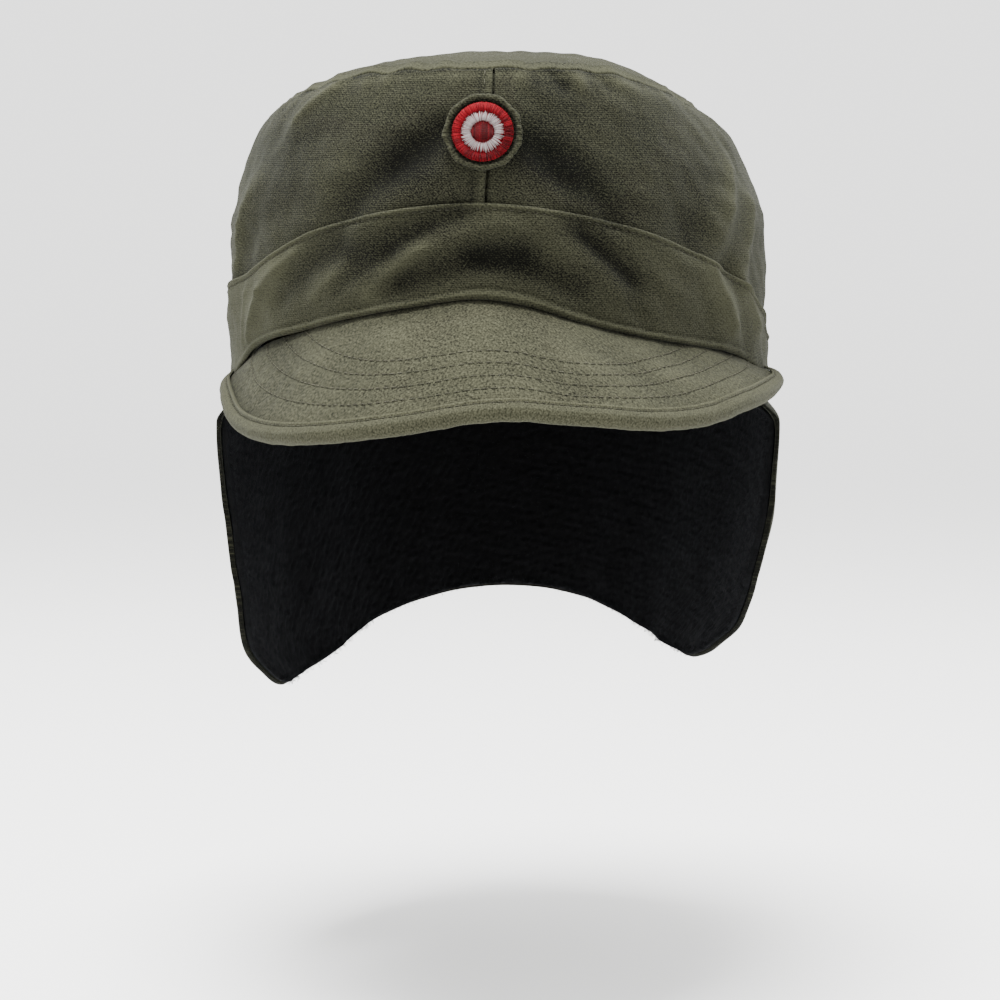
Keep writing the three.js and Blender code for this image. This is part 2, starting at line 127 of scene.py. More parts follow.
# Ear and neck flap
FLAP_CLOTH = 1.5
FLEECE = 2.2
FLEECE_MARGIN = 1
FLAP_DROP = 111
FLAP_HALF_WIDTH = 96
FLAP_HALF_LENGTH = 107
FLAP_FRONT = 78
FLAP_TUCK = 9
FLAP_HANG = 3
FLAP_BLEND = 13
FLAP_CORNER = 0.3
FLAP_CORNER_POWER = 2.2
FLAP_CORNER_LEFT = 104
FLAP_CORNER_RIGHT = 114
FLAP_STRAIGHTNESS = 0.35
FLAP_STITCH_UP = 5
FIBRES = 3600
EDGE_FIBRES = 3200
FIBRE = 0.07

GAP = 0.3
STITCH_LENGTH = 2.3
STITCH_GAP = 0.7
RIPPLE_WAVES = 14
TWILL = 0.35

# The first seed of each piece's unevenness and of its threads
CLOTH_SEED = 1
SEAM_WAVE_SEED = 11
PUCKER_SEED = 21
TOP_PUCKER_SEED = 24
TOP_SEED = 31
PEAK_SEED = 41
BINDING_SEED = 51
BACKING_SEED = 61
RED_RING_SEED = 71
WHITE_RING_SEED = 72
CENTRE_SEED = 73
FLAP_SEED = 81
FLEECE_SEED = 84
FIBRE_SEED = 91

# The photograph's camera, which looks at the middle of its frame
CAMERA_AZIMUTH = 2.2
CAMERA_ELEVATION = 3
CAMERA_DISTANCE = 1225
CAMERA_AIM = (0.4, 0, -44)
CAMERA_LENS = 129.6
CAMERA_SENSOR = 36

# The studio: its lamp's place and size and the floor's radii are metres
PALE = (0.95, 0.95, 0.945)
AMBIENT = 2.4
KEY_PLACE = (-0.12, -0.25, 1.5)
KEY_SIZE = 0.8
KEY_WATTS = 105
FLOOR_HEIGHT = -200
FLOOR_RADIUS = 7
FLOOR_BLEND = (0.7, 2.4)

# Lines round the cap, as shares of FRONT_RISE, TOP_HEIGHT and TOP_HEIGHT: angle, height
RIM_LINE = [
    (-88, 0), (-80, 0.06), (-72, 0.17), (-60, 0.42), (-45, 0.61), (-30, 0.79), (-15, 0.932), (0, 1.019),
    (8, 0.952), (20, 0.758), (35, 0.572), (50, 0.44), (65, 0.31), (80, 0.12), (95, 0),
]
TOP_LINE = [
    (-180, 0.86), (-150, 0.85), (-120, 0.86), (-90, 0.885), (-60, 0.942), (-30, 1.003),
    (0, 1.019), (30, 1.005), (60, 0.93), (90, 0.875), (120, 0.855), (150, 0.85), (180, 0.86),
]
BAND_LINE = [
    (-150, 0), (-126, 0.075), (-110, 0.155), (-90, 0.255), (-75, 0.31), (-60, 0.364),
    (-40, 0.487), (-20, 0.558), (0, 0.582), (20, 0.544), (40, 0.463), (60, 0.345), (75, 0.237),
    (90, 0.14), (106, 0.065), (120, 0),
]

# How far the wall stands out from the rim, as shares of TOP_INSET: up, front, left, right, back
WALL_PROFILE = [
    (0, 0, 0, 0, 0), (0.2, 0.1, 0.06, 0.04, 0.05), (0.4, 0.14, 0.075, 0.06, 0.05),
    (0.6, 0.1, 0.056, 0, 0), (0.75, 0.02, -0.135, -0.2, -0.1),
    (0.88, -0.12, -0.341, -0.47, -0.35), (0.95, -0.24, -0.522, -0.74, -0.55),
    (1, -0.36, -0.734, -1.02, -0.75),
]
FRONT, LEFT, RIGHT, BACK = 1, 2, 3, 4

# Broad folds of the cloth: angle, up, to angle, to up, width of FOLD_WIDTH, depth of FOLD_DEPTH
FOLDS = [
    (-9.5, 0.7, -29, 0.45, 1, -0.9), (9, 0.65, 26.5, 0.44, 1, -0.6),
    (-38.5, 0.94, -48, 0.84, 0.9, 0.5), (63.5, 0.7, 54.5, 0.4, 0.9, 0.7),
    (71.5, 0.6, 64.5, 0.34, 0.8, 0.5), (-61.5, 0.62, -72, 0.36, 1, 0.7),
    (46, 0.42, 59.5, 0.3, 0.8, -0.5), (-6, 0.36, -29, 0.22, 0.9, -0.7),
    (-33, 0.29, -48, 0.16, 0.8, -0.6), (7, 0.2, -17, 0.1, 0.8, -0.7),
    (-1, 0.17, 19, 0.125, 0.8, -0.6), (18.5, 0.35, 31.5, 0.19, 0.8, -0.6),
    (52, 0.3, 60, 0.09, 0.8, 0.6), (62.5, 0.31, 73, 0.14, 0.8, 0.5),
    (-51.5, 0.24, -62, 0.1, 0.9, 0.6), (118, 0.8, 136, 0.45, 1.5, -0.5),
    (-122, 0.75, -140, 0.4, 1.5, -0.5), (165, 0.5, 150, 0.15, 1.3, -0.4),
]

# Narrow creases on top of them: angle, up, to angle, to up, width and depth in millimetres
CREASES = [
    (-37, 0.97, -48, 0.86, 2.6, 1.3), (-48, 0.86, -53, 0.76, 3, 0.3),
    (-62, 0.6, -66, 0.5, 2.2, 0.8), (-66, 0.5, -70, 0.36, 2, 0.9),
    (63, 0.72, 58, 0.52, 2.6, 0.9), (71.5, 0.62, 66, 0.38, 2.4, 0.8),
    (-44, 0.3, -56, 0.19, 2.4, 0.7), (-56, 0.19, -64, 0.05, 2.2, 0.8),
    (-64, 0.22, -68, 0.06, 2, 0.6), (14.5, 0.975, 17.5, 0.9, 2.6, -1), (25.5, 0.98, 28.5, 0.93, 2.4, -0.9),
    (19.5, 0.98, 22, 0.91, 3, 0.8), (31, 0.97, 40, 0.93, 3.6, 0.9), (-13, 0.23, -25, 0.06, 3.6, 0.9),
    (53, 0.29, 60, 0.1, 2.4, 0.7), (63, 0.3, 72, 0.15, 2.2, 0.6), (20, 0.33, 31, 0.2, 2.6, -0.7),
    (-33, 0.1, -19.5, 0.24, 3, -0.55), (-19.5, 0.24, -12, 0.31, 3, -0.4),
    (-24, 0.06, -15.8, 0.13, 2.8, -0.5), (-39, 0.11, -31, 0.21, 3, 0.6),
]

# Painted shade in hollows of the cloth, and painted light on a bright fold where the strength is
# negative: angle, up, half length along, half length up, strength
HOLLOWS = [
    (11, 0.66, 8, 0.13, 1.0), (19, 0.56, 7, 0.08, 0.6), (-15, 0.61, 8.5, 0.14, 0.75),
    (-33, 0.57, 9, 0.14, -0.42), (9, 0.9, 4, 0.05, 0.2), (-52, 0.7, 20, 0.24, 0.6),
    (44, 0.66, 20, 0.26, 0.36), (20, 0.88, 9, 0.1, 0.25),
]

# Height of the peak's edge below the rim's plane, as shares of PEAK_EDGE_DROP: its angle, drop
PEAK_EDGE = [
    (-90, 0.12), (-80, 0.2), (-61, 0.87), (-50, 1), (-41, 1), (-30, 0.9), (-12, 0.62), (5, 0.3),
    (12, 0.38), (20, 0.46), (28, 0.56), (36, 0.59), (45, 0.54), (55, 0.36), (65, 0.25),
    (77, 0.1), (90, 0),
]

# The flap's width as shares of FLAP_HALF_WIDTH: share of FLAP_DROP, left, right, back
FLAP_LEAN = [
    (0, 0.975, 0.975, 1), (0.15, 0.987, 0.992, 1), (0.3, 0.985, 0.978, 0.99),
    (0.45, 0.968, 0.955, 0.975), (0.6, 0.947, 0.915, 0.955), (0.75, 0.922, 0.865, 0.935),
    (0.9, 0.885, 0.77, 0.915), (1, 0.83, 0.71, 0.9),
]
LEAN_LEFT, LEAN_RIGHT, LEAN_BACK = 1, 2, 3

# The flap's lower edge, as shares of FLAP_DROP: angle, drop
FLAP_EDGE = [
    (-180, 0.76), (-155, 0.81), (-130, 0.94), (-105, 1), (-90, 0.985), (90, 0.92), (105, 0.92),
    (120, 0.92), (140, 0.87), (160, 0.79), (180, 0.76),
]

# Unevenness of the cloths: wavelength, height
CLOTH_RIPPLES = [(34, 0.42), (13, 0.2), (4.5, 0.05)]
TOP_RIPPLES = [(38, 0.5), (11, 0.16)]
PEAK_RIPPLES = [(26, 0.18), (7, 0.07)]
BACKING_EDGE_RIPPLES = [(7, 0.1), (1.6, 0.1)]
BACKING_RIM_RIPPLES = [(4, 0.2), (1.1, 0.14)]
FLEECE_CLUMPS = [(3.2, 0.5), (1.7, 0.35)]

# Ridges and grooves beside seams and edges: distance, width, height
TOP_SEAM_RIDGES = [(1.6, 0.9, 0.4), (3.2, 0.8, -0.3)]
BACK_SEAM_RIDGES = [(2, 2, 0.35), (BACK_STITCH_IN, 0.6, -0.3)]
BAND_EDGE_RIDGES = [(0.8, 0.6, BAND_BEAD), (BAND_STITCH_DOWN, 0.45, -0.35)]
BINDING_RIDGES = [(0.45, 0.5, 0.3), (BINDING_STITCH_IN, 0.42, -0.42), (4.2, 1.9, 0.3)]
FLAP_HEM_RIDGES = [(1.4, 1.2, 0.35), (FLAP_STITCH_UP, 0.7, -0.35)]

# Light and dark beside them, painted shade and lighter strips: distance, width, tone. The band's table of
# painted light has angles in place of distances
# Painted shadow just under the top seam, and a lighter strip below it
TOP_SEAM_TONES = [(3.6, 1.2, 0.3), (1.6, 1, -0.5)]
# Lighter on the lap's raised edge, and painted shade past its stitching
LAP_TONES = [(1.2, 1.5, 0.3), (LAP_WIDTH + 1.2, 0.8, -0.35)]
# Lighter along the binding's lip, and painted shade in its stitch groove
BINDING_TONES = [(0.5, 0.5, 0.45), (BINDING_STITCH_IN, 0.4, -0.6)]
# Painted light in broad patches round the band
BAND_PAINTED_LIGHT = [(-64, 24, 0.55), (-12, 20, 0.16), (55, 25, 0.12)]

# The tape behind the top seam: below the seam, inward, share of TAPE_CLOTH
TAPE_SECTION = [
    (7, 0, 0), (5, 0, 0.8), (3.4, 0, 1), (2.2, 0, 1), (1.4, 0, 1), (0.9, 0.3, 1), (0.8, 1, 1),
    (0.8, 2.2, 1), (0.8, 4, 1), (0.8, 6, 0.8), (0.8, 8, 0),
]

# The cockade's backing with its turned edge: radius, height above the wall, and tone: painted shade in the
# recess and under the rolled rim, lighter on its crest
BACKING_SECTION = [
    (0, 1.4, -0.6), (4, 1.4, -0.6), (8, 1.4, -0.6), (9.3, 1, -0.7), (9.6, 0.95, -0.7),
    (9.85, 1.2, -0.5), (10.1, 1.8, -0.25), (10.4, 2.25, 0.05), (10.8, 2.5, 0.15), (11.2, 2.6, 0.25),
    (11.55, 2.45, 0.35), (11.8, 2, 0.1), (11.95, 1.3, -0.2), (11.9, 0.6, -0.4), (11.6, 0.4, -0.4),
]

# The pad under the cockade's centre: radius, height above its backing
CENTRE_PAD = [(0, 0.8), (1.2, 0.75), (2.2, 0.6), (3, 0.35), (3.3, 0.1)]


# Numbers

def along(rows, x, column=1):
    """Smooth curve through one column of a table, flat past both of its ends."""
    table = np.array(rows, float)
    at, value = table[:, 0], table[:, column]
    step = np.diff(at)
    rise = np.diff(value) / step
    slope = np.zeros(len(at))
    slope[1:-1] = (rise[:-1] * step[1:] + rise[1:] * step[:-1]) / (step[:-1] + step[1:])
    x = np.clip(x, at[0], at[-1])
    i = np.clip(np.searchsorted(at, x, side="right") - 1, 0, len(at) - 2)
    t = (x - at[i]) / step[i]
    return (value[i] * (1 + 2 * t) * (1 - t) ** 2 + value[i + 1] * t * t * (3 - 2 * t)
            + step[i] * slope[i] * t * (1 - t) ** 2 - step[i] * slope[i + 1] * t * t * (1 - t))


def mix(a, b, t):
    return a + (b - a) * t


def smooth(x, low, high):
    t = np.clip((x - low) / (high - low), 0, 1)
    return t * t * (3 - 2 * t)


def bump(x, middle, width):
    """A rounded hump of height 1."""
    return np.exp(-((x - middle) / width) ** 2)


def bumps(x, rows):
    """The sum of a table's humps."""
    return sum(height * bump(x, middle, width) for middle, width, height in rows)


def ripple(x, y, wavelength, seed):
    """Soft unevenness of about -1 to 1, from waves that run every way."""
    draw = np.random.default_rng(seed)
    turns = draw.uniform(0, 2 * math.pi, RIPPLE_WAVES)
    phases = draw.uniform(0, 2 * math.pi, RIPPLE_WAVES)
    numbers = 2 * math.pi / wavelength * draw.uniform(0.7, 1.4, RIPPLE_WAVES)
    total = 0
    for turn, phase, number in zip(turns, phases, numbers):
        total = total + np.sin(number * (x * math.cos(turn) + y * math.sin(turn)) + phase)
    return total / math.sqrt(RIPPLE_WAVES)


def ripples(x, y, rows, seed):
    """The sum of a table's ripples, each with a seed of its own."""
    return sum(height * ripple(x, y, length, seed + k) for k, (length, height) in enumerate(rows))


def unit(vectors):
    return vectors / np.maximum(np.linalg.norm(vectors, axis=-1, keepdims=True), 1e-9)


def stack(x, y, z):
    return np.stack(np.broadcast_arrays(x, y, z), -1).astype(float)


def lengths(points):
    """How far along a line each of its points lies."""
    return np.concatenate([[0], np.cumsum(np.linalg.norm(np.diff(points, axis=0), axis=1))])


# The cap's surfaces

def oval(angle):
    turn = np.radians(angle)
    return RIM_HALF_WIDTH * np.sin(turn) * (1 - RIM_EGG * np.cos(turn)), -RIM_HALF_LENGTH * np.cos(turn)


def outward(angle):
    step = 0.01
    x0, y0 = oval(angle - step)
    x1, y1 = oval(angle + step)
    return unit(stack(y1 - y0, x0 - x1, 0))


def rim_height(angle):
    return FRONT_RISE * along(RIM_LINE, angle)


def top_height(angle):
    return TOP_HEIGHT * along(TOP_LINE, angle)


def band_height(angle):
    return TOP_HEIGHT * along(BAND_LINE, angle)


def bulge(angle, up):
    forward = np.cos(np.radians(angle))
    side = np.sin(np.radians(angle)) ** 2
    ends = np.where(forward > 0, along(WALL_PROFILE, up, FRONT), along(WALL_PROFILE, up, BACK))
    sides = np.where(angle < 0, along(WALL_PROFILE, up, LEFT), along(WALL_PROFILE, up, RIGHT))
    return TOP_INSET * (forward ** 2 * ends + side * sides)


# Millimetres to a degree round the cap, and to a radian at its front
REACH = math.radians((RIM_HALF_WIDTH + RIM_HALF_LENGTH) / 2)
FRONT_REACH = RIM_HALF_WIDTH * (1 - RIM_EGG)


def fold_sum(table, angle, up, width, depth):
    x, y = angle * REACH, up * TOP_HEIGHT
    total = 0
    for a, u, to_a, to_u, wide, deep in table:
        x0, y0 = a * REACH, u * TOP_HEIGHT
        dx, dy = to_a * REACH - x0, to_u * TOP_HEIGHT - y0
        t = np.clip(((x - x0) * dx + (y - y0) * dy) / (dx * dx + dy * dy), 0, 1)
        away = np.hypot(x - x0 - t * dx, y - y0 - t * dy) / (width * wide)
        total = total + depth * deep * np.exp(-away * away)
    return total


def folds(angle, up):
    return fold_sum(FOLDS, angle, up, FOLD_WIDTH, FOLD_DEPTH)


def ridges(angle, up):
    """Where folds and creases stand out, lighter there and darker in their valleys: partly wear and dirt,
    partly painted light and shade.
    """
    return fold_sum(CREASES, angle, up, 1, 1) + 0.6 * folds(angle, up)


def from_cockade(angle, up):
    height = mix(rim_height(angle), top_height(angle), up)
    return np.hypot((angle - COCKADE_ANGLE) * math.radians(FRONT_REACH), height - COCKADE_HEIGHT)


def creases(angle, up):
    """The finer relief: creases and a soft unevenness, none of it under the cockade."""
    uneven = ripples(angle * REACH, up * TOP_HEIGHT, CLOTH_RIPPLES, CLOTH_SEED)
    clear = smooth(from_cockade(angle, up), COCKADE_RADIUS + 0.5, COCKADE_RADIUS + 7)
    return (fold_sum(CREASES, angle, up, 1, 1) + uneven) * clear


def smooth_wall(angle, up, out):
    x, y = oval(angle)
    z = mix(rim_height(angle), top_height(angle), up)
    return stack(x, y, z) + outward(angle) * np.asarray(bulge(angle, up) + out)[..., None]


def wall(angle, up, out):
    angle, up, out = np.broadcast_arrays(angle, up, out)
    return smooth_wall(angle, up, folds(angle, up) + out)


def wall_share(angle, height):
    return (height - rim_height(angle)) / (top_height(angle) - rim_height(angle))


# Meshes

def build(name, points, faces, weave=None, tone=None):
    """A smooth mesh with its cloth's own coordinates in millimetres and its tone."""
    points = np.asarray(points, float).reshape(-1, 3)
    faces = np.asarray(faces)
    used, order = np.unique(faces, return_inverse=True)
    faces = order.reshape(faces.shape)
    mesh = bpy.data.meshes.new(name)
    mesh.from_pydata((points[used] * MM).tolist(), [], faces.tolist())
    if weave is None:
        weave = points
    if tone is None:
        tone = np.zeros(len(points))
    fields = [("weave", "FLOAT_VECTOR", "vector", weave), ("tone", "FLOAT", "value", tone)]
    for key, kind, field, values in fields:
        made = mesh.attributes.new(key, kind, "POINT")
        made.data.foreach_set(field, np.ascontiguousarray(values[used], np.float32).ravel())
    piece = bpy.data.objects.new(name, mesh)
    bpy.context.scene.collection.objects.link(piece)
    close(mesh)
    mesh.shade_smooth()
    return piece


def close(mesh):
    """Points in one place become one point, and the faces look outward."""
    work = bmesh.new()
    work.from_mesh(mesh)
    bmesh.ops.remove_doubles(work, verts=work.verts, dist=1e-7)
    if work.calc_volume(signed=True) < 0:
        bmesh.ops.reverse_faces(work, faces=work.faces)
    work.to_mesh(mesh)
    work.free()


def quads(index):
    corners = [index[:-1, :-1], index[:-1, 1:], index[1:, 1:], index[1:, :-1]]
    return np.stack(corners, -1).reshape(-1, 4)


def sheet(name, face, back, ring=False, weave=None, tone=None):
    """One closed body between two grids of points, rows by columns, that share their edges."""
    rows, columns = face.shape[:2]
    outer = np.arange(rows * columns).reshape(rows, columns)
    inner = outer + rows * columns
    inner[0], inner[-1] = outer[0], outer[-1]
    if ring:
        outer = np.hstack([outer, outer[:, :1]])
        inner = np.hstack([inner, inner[:, :1]])
    else:
        inner[:, 0], inner[:, -1] = outer[:, 0], outer[:, -1]
    faces = np.vstack([quads(outer), quads(inner)[:, ::-1]])
    points = np.concatenate([face.reshape(-1, 3), back.reshape(-1, 3)])
    if weave is not None:
        weave = np.concatenate([weave.reshape(-1, 3)] * 2)
    if tone is not None:
        tone = np.concatenate([np.clip(tone, -1, 1).ravel()] * 2)
    return build(name, points, faces, weave, tone)


# How the rounded edge of a cloth is divided, as shares of its rounding
ROUNDED = np.array([0, 0.06, 0.25, 0.58])


def stations(count, length, rounding, crowd=0.0):
    """Places from 0 to 1, closer at the ends, where the cloth rounds over, and shares of its thickness."""
    near = ROUNDED * rounding / length
    t = np.linspace(0, 1, count)
    middle = mix(rounding / length, 1 - rounding / length, mix(t, t ** 3, crowd))
    at = np.concatenate([near, middle, 1 - near[::-1]])
    depth = np.clip(np.minimum(at, 1 - at) * length / rounding, 0, 1)
    return at, np.sqrt(1 - (1 - depth) ** 2)


def grid(columns, length, rows, height, rounding, crowd=0.0):
    """The shares along and up a panel of about this size, and each point's share of thickness."""
    across, share_across = stations(columns, length, rounding, crowd)
    upward, share_up = stations(rows, height, rounding)
    t, v = np.meshgrid(across, upward)
    return t, v, np.minimum(*np.meshgrid(share_across, share_up))


def tubes(name, paths, radius, tone, sides=6, flat=1.0, up=(0.13, 0.21, 0.97)):
    """Threads: paths is threads by points by 3. Each thread is one closed tube with pointed ends."""
    count, steps = paths.shape[:2]
    run = unit(np.gradient(paths, axis=1))
    side = unit(np.cross(run, np.broadcast_to(np.array(up), run.shape)))
    up = np.cross(side, run)
    turn = np.linspace(0, 2 * math.pi, sides, endpoint=False)
    share = np.clip(np.sin(np.linspace(0, math.pi, steps)) ** 0.5, 0.02, 1)
    size = np.broadcast_to(radius, (count,))[:, None, None, None] * share[None, :, None, None]
    points = (paths[:, :, None] + size * (np.cos(turn)[:, None] * side[:, :, None]
                                          + flat * np.sin(turn)[:, None] * up[:, :, None]))
    index = np.arange(count * steps * sides).reshape(count, steps, sides)
    after = np.roll(index, -1, axis=2)
    walls = np.stack([index[:, :-1], after[:, :-1], after[:, 1:], index[:, 1:]], -1).reshape(-1, 4)
    ends = [index[:, 0, ::-1], index[:, -1]]
    caps = [np.stack([end[:, 0], end[:, k], end[:, k + 1], end[:, k + 2]], -1)
            for end in ends for k in range(1, sides - 2, 2)]
    length = np.linspace(0, 1, steps)[None, :, None]
    around = np.arange(sides)[None, None] + 0.0 * length
    weave = stack(length * steps, around, np.arange(count)[:, None, None] * 1.7).reshape(-1, 3)
    return build(name, points, np.vstack([walls, *caps]), weave, np.repeat(tone, steps * sides))


def stitch_paths(line, normal, length, gap, seed):
    """Short arched threads along a line of points, each dipping into the cloth at both ends."""
    run = lengths(line)
    count = int(run[-1] // (length + gap))
    draw = np.random.default_rng(seed)
    start = (length + gap) * np.arange(count) + draw.uniform(-0.12, 0.12, count)
    t = np.linspace(0, 1, 6)
    at = start[:, None] + t * length * draw.uniform(0.86, 1.08, count)[:, None]
    place = np.stack([np.interp(at, run, line[:, k]) for k in range(3)], -1)
    lift = np.stack([np.interp(at, run, normal[:, k]) for k in range(3)], -1)
    height = mix(-0.22, 0.2, np.sin(math.pi * t) ** 0.5)
    return place + unit(lift) * height[None, :, None]


# Cloth, thread and fleece

class Nodes:
    """A material's nodes, made by short calls."""

    def __init__(self, name):
        self.material = bpy.data.materials.new(name)
        self.material.use_nodes = True
        self.tree = self.material.node_tree
        self.tree.nodes.clear()

    def add(self, kind, inputs=(), **settings):
        node = self.tree.nodes.new("ShaderNode" + kind)
        for key, value in settings.items():
            setattr(node, key, value)
        for key, value in dict(inputs).items():
            self.put(node.inputs[key], value)
        return node

    def put(self, socket, value):
        if isinstance(value, bpy.types.NodeSocket):
            self.tree.links.new(value, socket)
        else:
            socket.default_value = value

    def math(self, operation, a, b=0.0, c=0.0, clamp=False):
        return self.add("Math", {0: a, 1: b, 2: c}, operation=operation, use_clamp=clamp).outputs[0]

    def scaled(self, a, by, plus=0.0, clamp=False):
        return self.math("MULTIPLY_ADD", a, by, plus, clamp)

    def varied(self, noise, by, plus):
        """A noise, which is about a half, taken about 0, scaled and added."""
        return self.scaled(self.math("SUBTRACT", noise, 0.5), by, plus)

    def cloth(self):
        """The mesh's own coordinates and tone."""
        place = self.add("Attribute", attribute_name="weave").outputs["Vector"]
        return place, self.add("Attribute", attribute_name="tone").outputs["Fac"]

    def noise(self, vector, scale, detail=2.0, rough=0.5):
        inputs = {"Vector": vector, "Scale": scale, "Detail": detail, "Roughness": rough}
        return self.add("TexNoise", inputs).outputs["Fac"]

    def stretch(self, vector, by, turn=0.0):
        return self.add("Mapping", {"Vector": vector, "Scale": by, "Rotation": (0, 0, turn)}).outputs[0]

    def colours(self, factor, a, b):
        node = self.add("Mix", {0: factor, 6: (*a, 1), 7: (*b, 1)}, data_type="RGBA")
        return node.outputs[2]

    def surface(self, shader):
        output = self.add("OutputMaterial")
        self.tree.links.new(shader.outputs[0], output.inputs[0])
        return self.material

    def finish(self, colour, height, relief, roughness, sheen, sheen_tint, specular):
        lift = self.add("Bump", {"Height": height, "Distance": relief * MM, "Strength": 1.0})
        return self.surface(self.add("BsdfPrincipled", {
            "Base Color": colour, "Roughness": roughness, "Normal": lift.outputs[0],
            "Sheen Weight": sheen, "Sheen Roughness": 0.5, "Sheen Tint": (*sheen_tint, 1),
            "Specular IOR Level": specular,
        }))


def woven(name, dark, light, pitch, fleck, relief, ribs=0.3, patch=0.1):
    """Woven cotton: ribs of weft and warp, heather flecks, patches of wear, and the piece's tone, much of it
    painted light and shade.
    """
    nodes = Nodes(name)
    place, tone = nodes.cloth()
    wander = nodes.noise(nodes.stretch(place, (0.06, 0.25, 1)), 1.0)
    split = nodes.add("SeparateXYZ", {0: place})
    cycle = 2 * math.pi / pitch
    weft = nodes.math("SINE", nodes.scaled(wander, 3.0, nodes.math("MULTIPLY", split.outputs[1], cycle)))
    warp = nodes.math("SINE", nodes.math("MULTIPLY", split.outputs[0], cycle))
    slant = nodes.math("ADD", split.outputs[0], split.outputs[1])
    rib = nodes.math("SINE", nodes.math("MULTIPLY", slant, cycle * 0.5))
    flecks = nodes.noise(nodes.stretch(place, (1.45, 1.9, 1), 0.5), 1.0, 1.0, 0.6)
    slubs = nodes.noise(nodes.stretch(place, (0.4, 1.1, 1)), 1.0, 1.0, 0.5)
    patches = nodes.noise(nodes.stretch(place, (0.05, 0.07, 1)), 1.0, 3.0, 0.55)
    share = nodes.varied(flecks, fleck * 5.5, 0.42)
    share = nodes.varied(slubs, fleck * 1.1, share)
    share = nodes.varied(patches, patch * 3.0, share)
    lines = nodes.scaled(weft, 0.6, nodes.math("MULTIPLY", rib, TWILL))
    share = nodes.scaled(lines, fleck * ribs, share)
    share = nodes.scaled(tone, 0.5, share, clamp=True)
    height = nodes.scaled(weft, 0.25, nodes.math("MULTIPLY", warp, 0.16))
    height = nodes.scaled(rib, 0.2 * TWILL, height)
    height = nodes.scaled(flecks, 1.1, height)
    height = nodes.scaled(slubs, 0.9, height)
    rough = nodes.scaled(flecks, -0.14, 0.98)
    colour = nodes.colours(share, dark, light)
    return nodes.finish(colour, height, relief, rough, 0.03, (0.86, 0.9, 0.78), 0.08)


def spun(name, dark, light, sheen, gloss=0.45):
    """Thread: twisted strands, lighter and darker by the piece's tone."""
    nodes = Nodes(name)
    place, tone = nodes.cloth()
    split = nodes.add("SeparateXYZ", {0: place})
    twist = nodes.math("ADD", nodes.math("MULTIPLY", split.outputs[0], 4.0), split.outputs[1])
    strands = nodes.math("SINE", nodes.math("MULTIPLY", twist, 2.1))
    grain = nodes.noise(place, 2.2, 2.0)
    share = nodes.scaled(strands, 0.16, nodes.scaled(grain, 0.6, 0.15))
    share = nodes.scaled(tone, 0.5, share, clamp=True)
    rough = nodes.scaled(grain, 0.2, gloss)
    return nodes.finish(nodes.colours(share, dark, light), strands, 0.05, rough, sheen, (1, 0.95, 0.95), 0.08)


def pile(name, dark, light):
    """Black fleece: clumps of short curled fibres."""
    nodes = Nodes(name)
    place, tone = nodes.cloth()
    clumps = nodes.noise(place, 0.32, 4.0, 0.65)
    hairs = nodes.noise(nodes.stretch(place, (1.6, 3.4, 1)), 1.0, 3.0, 0.7)
    share = nodes.scaled(nodes.math("MULTIPLY", clumps, hairs), 2.0, -0.1)
    share = nodes.scaled(tone, 0.35, share, clamp=True)
    height = nodes.math("ADD", clumps, hairs)
    rough = nodes.scaled(clumps, -0.1, 1.0)
    return nodes.finish(nodes.colours(share, dark, light), height, 0.5, rough, 0.02, (0.8, 0.85, 1), 0.05)


CROWN_CLOTH_MATERIAL = woven("crown_cloth", (0.0008, 0.0009, 0.0003), (0.0345, 0.035, 0.0205),
                             pitch=0.6, fleck=0.36, relief=0.12, ribs=0.5)
PEAK_CLOTH_MATERIAL = woven("peak_cloth", (0.003, 0.0031, 0.001), (0.054, 0.054, 0.033),
                            pitch=0.5, fleck=0.3, relief=0.07, patch=0.08)
SEAM_THREAD = spun("seam_thread", (0.02, 0.02, 0.013), (0.085, 0.083, 0.06), sheen=0.02, gloss=0.85)
RED_THREAD = spun("red_thread", (0.012, 0.0002, 0.0006), (0.27, 0.0045, 0.0115), sheen=0.0)
WHITE_THREAD = spun("white_thread", (0.12, 0.1, 0.1), (0.4, 0.36, 0.355), sheen=0.03)
FLEECE_MATERIAL = pile("fleece", (0.0002, 0.00022, 0.00025), (0.0056, 0.0058, 0.0061))


def done(piece, material, slot, *nodes):
    """Every piece has a material, rides on the one body and may replace solids; its slot is not used."""
    piece.data.materials.append(material)
    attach(piece, "root")
    if nodes:
        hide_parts(*nodes)


# Crown

def front_seam(up):
    """The angle of the left panel's edge, which laps over the right one and leans to the right."""
    return mix(0.0, SEAM_LEAN, smooth(up, 0.35, 1.0))


def from_front_seam(angle, up):
    return np.abs(angle - front_seam(up)) * math.radians(FRONT_REACH)


def below_top(angle, up):
    return (1 - up) * (top_height(angle) - rim_height(angle))


def seam_wave(angle):
    return 0.45 * ripple(angle * REACH, 0 * angle, 17, SEAM_WAVE_SEED)


def pucker(angle, seed):
    """Gathers along the top seam, strongest a little to the right of the front."""
    x = angle * REACH
    strong = 0.3 + 0.7 * bump(angle, 12, 42)
    varied = 0.55 + 0.45 * ripple(x, 0 * x, 41, seed + 1)
    return strong * np.clip(ripple(x, 0 * x, 9, seed) * varied, -1, 1.6)


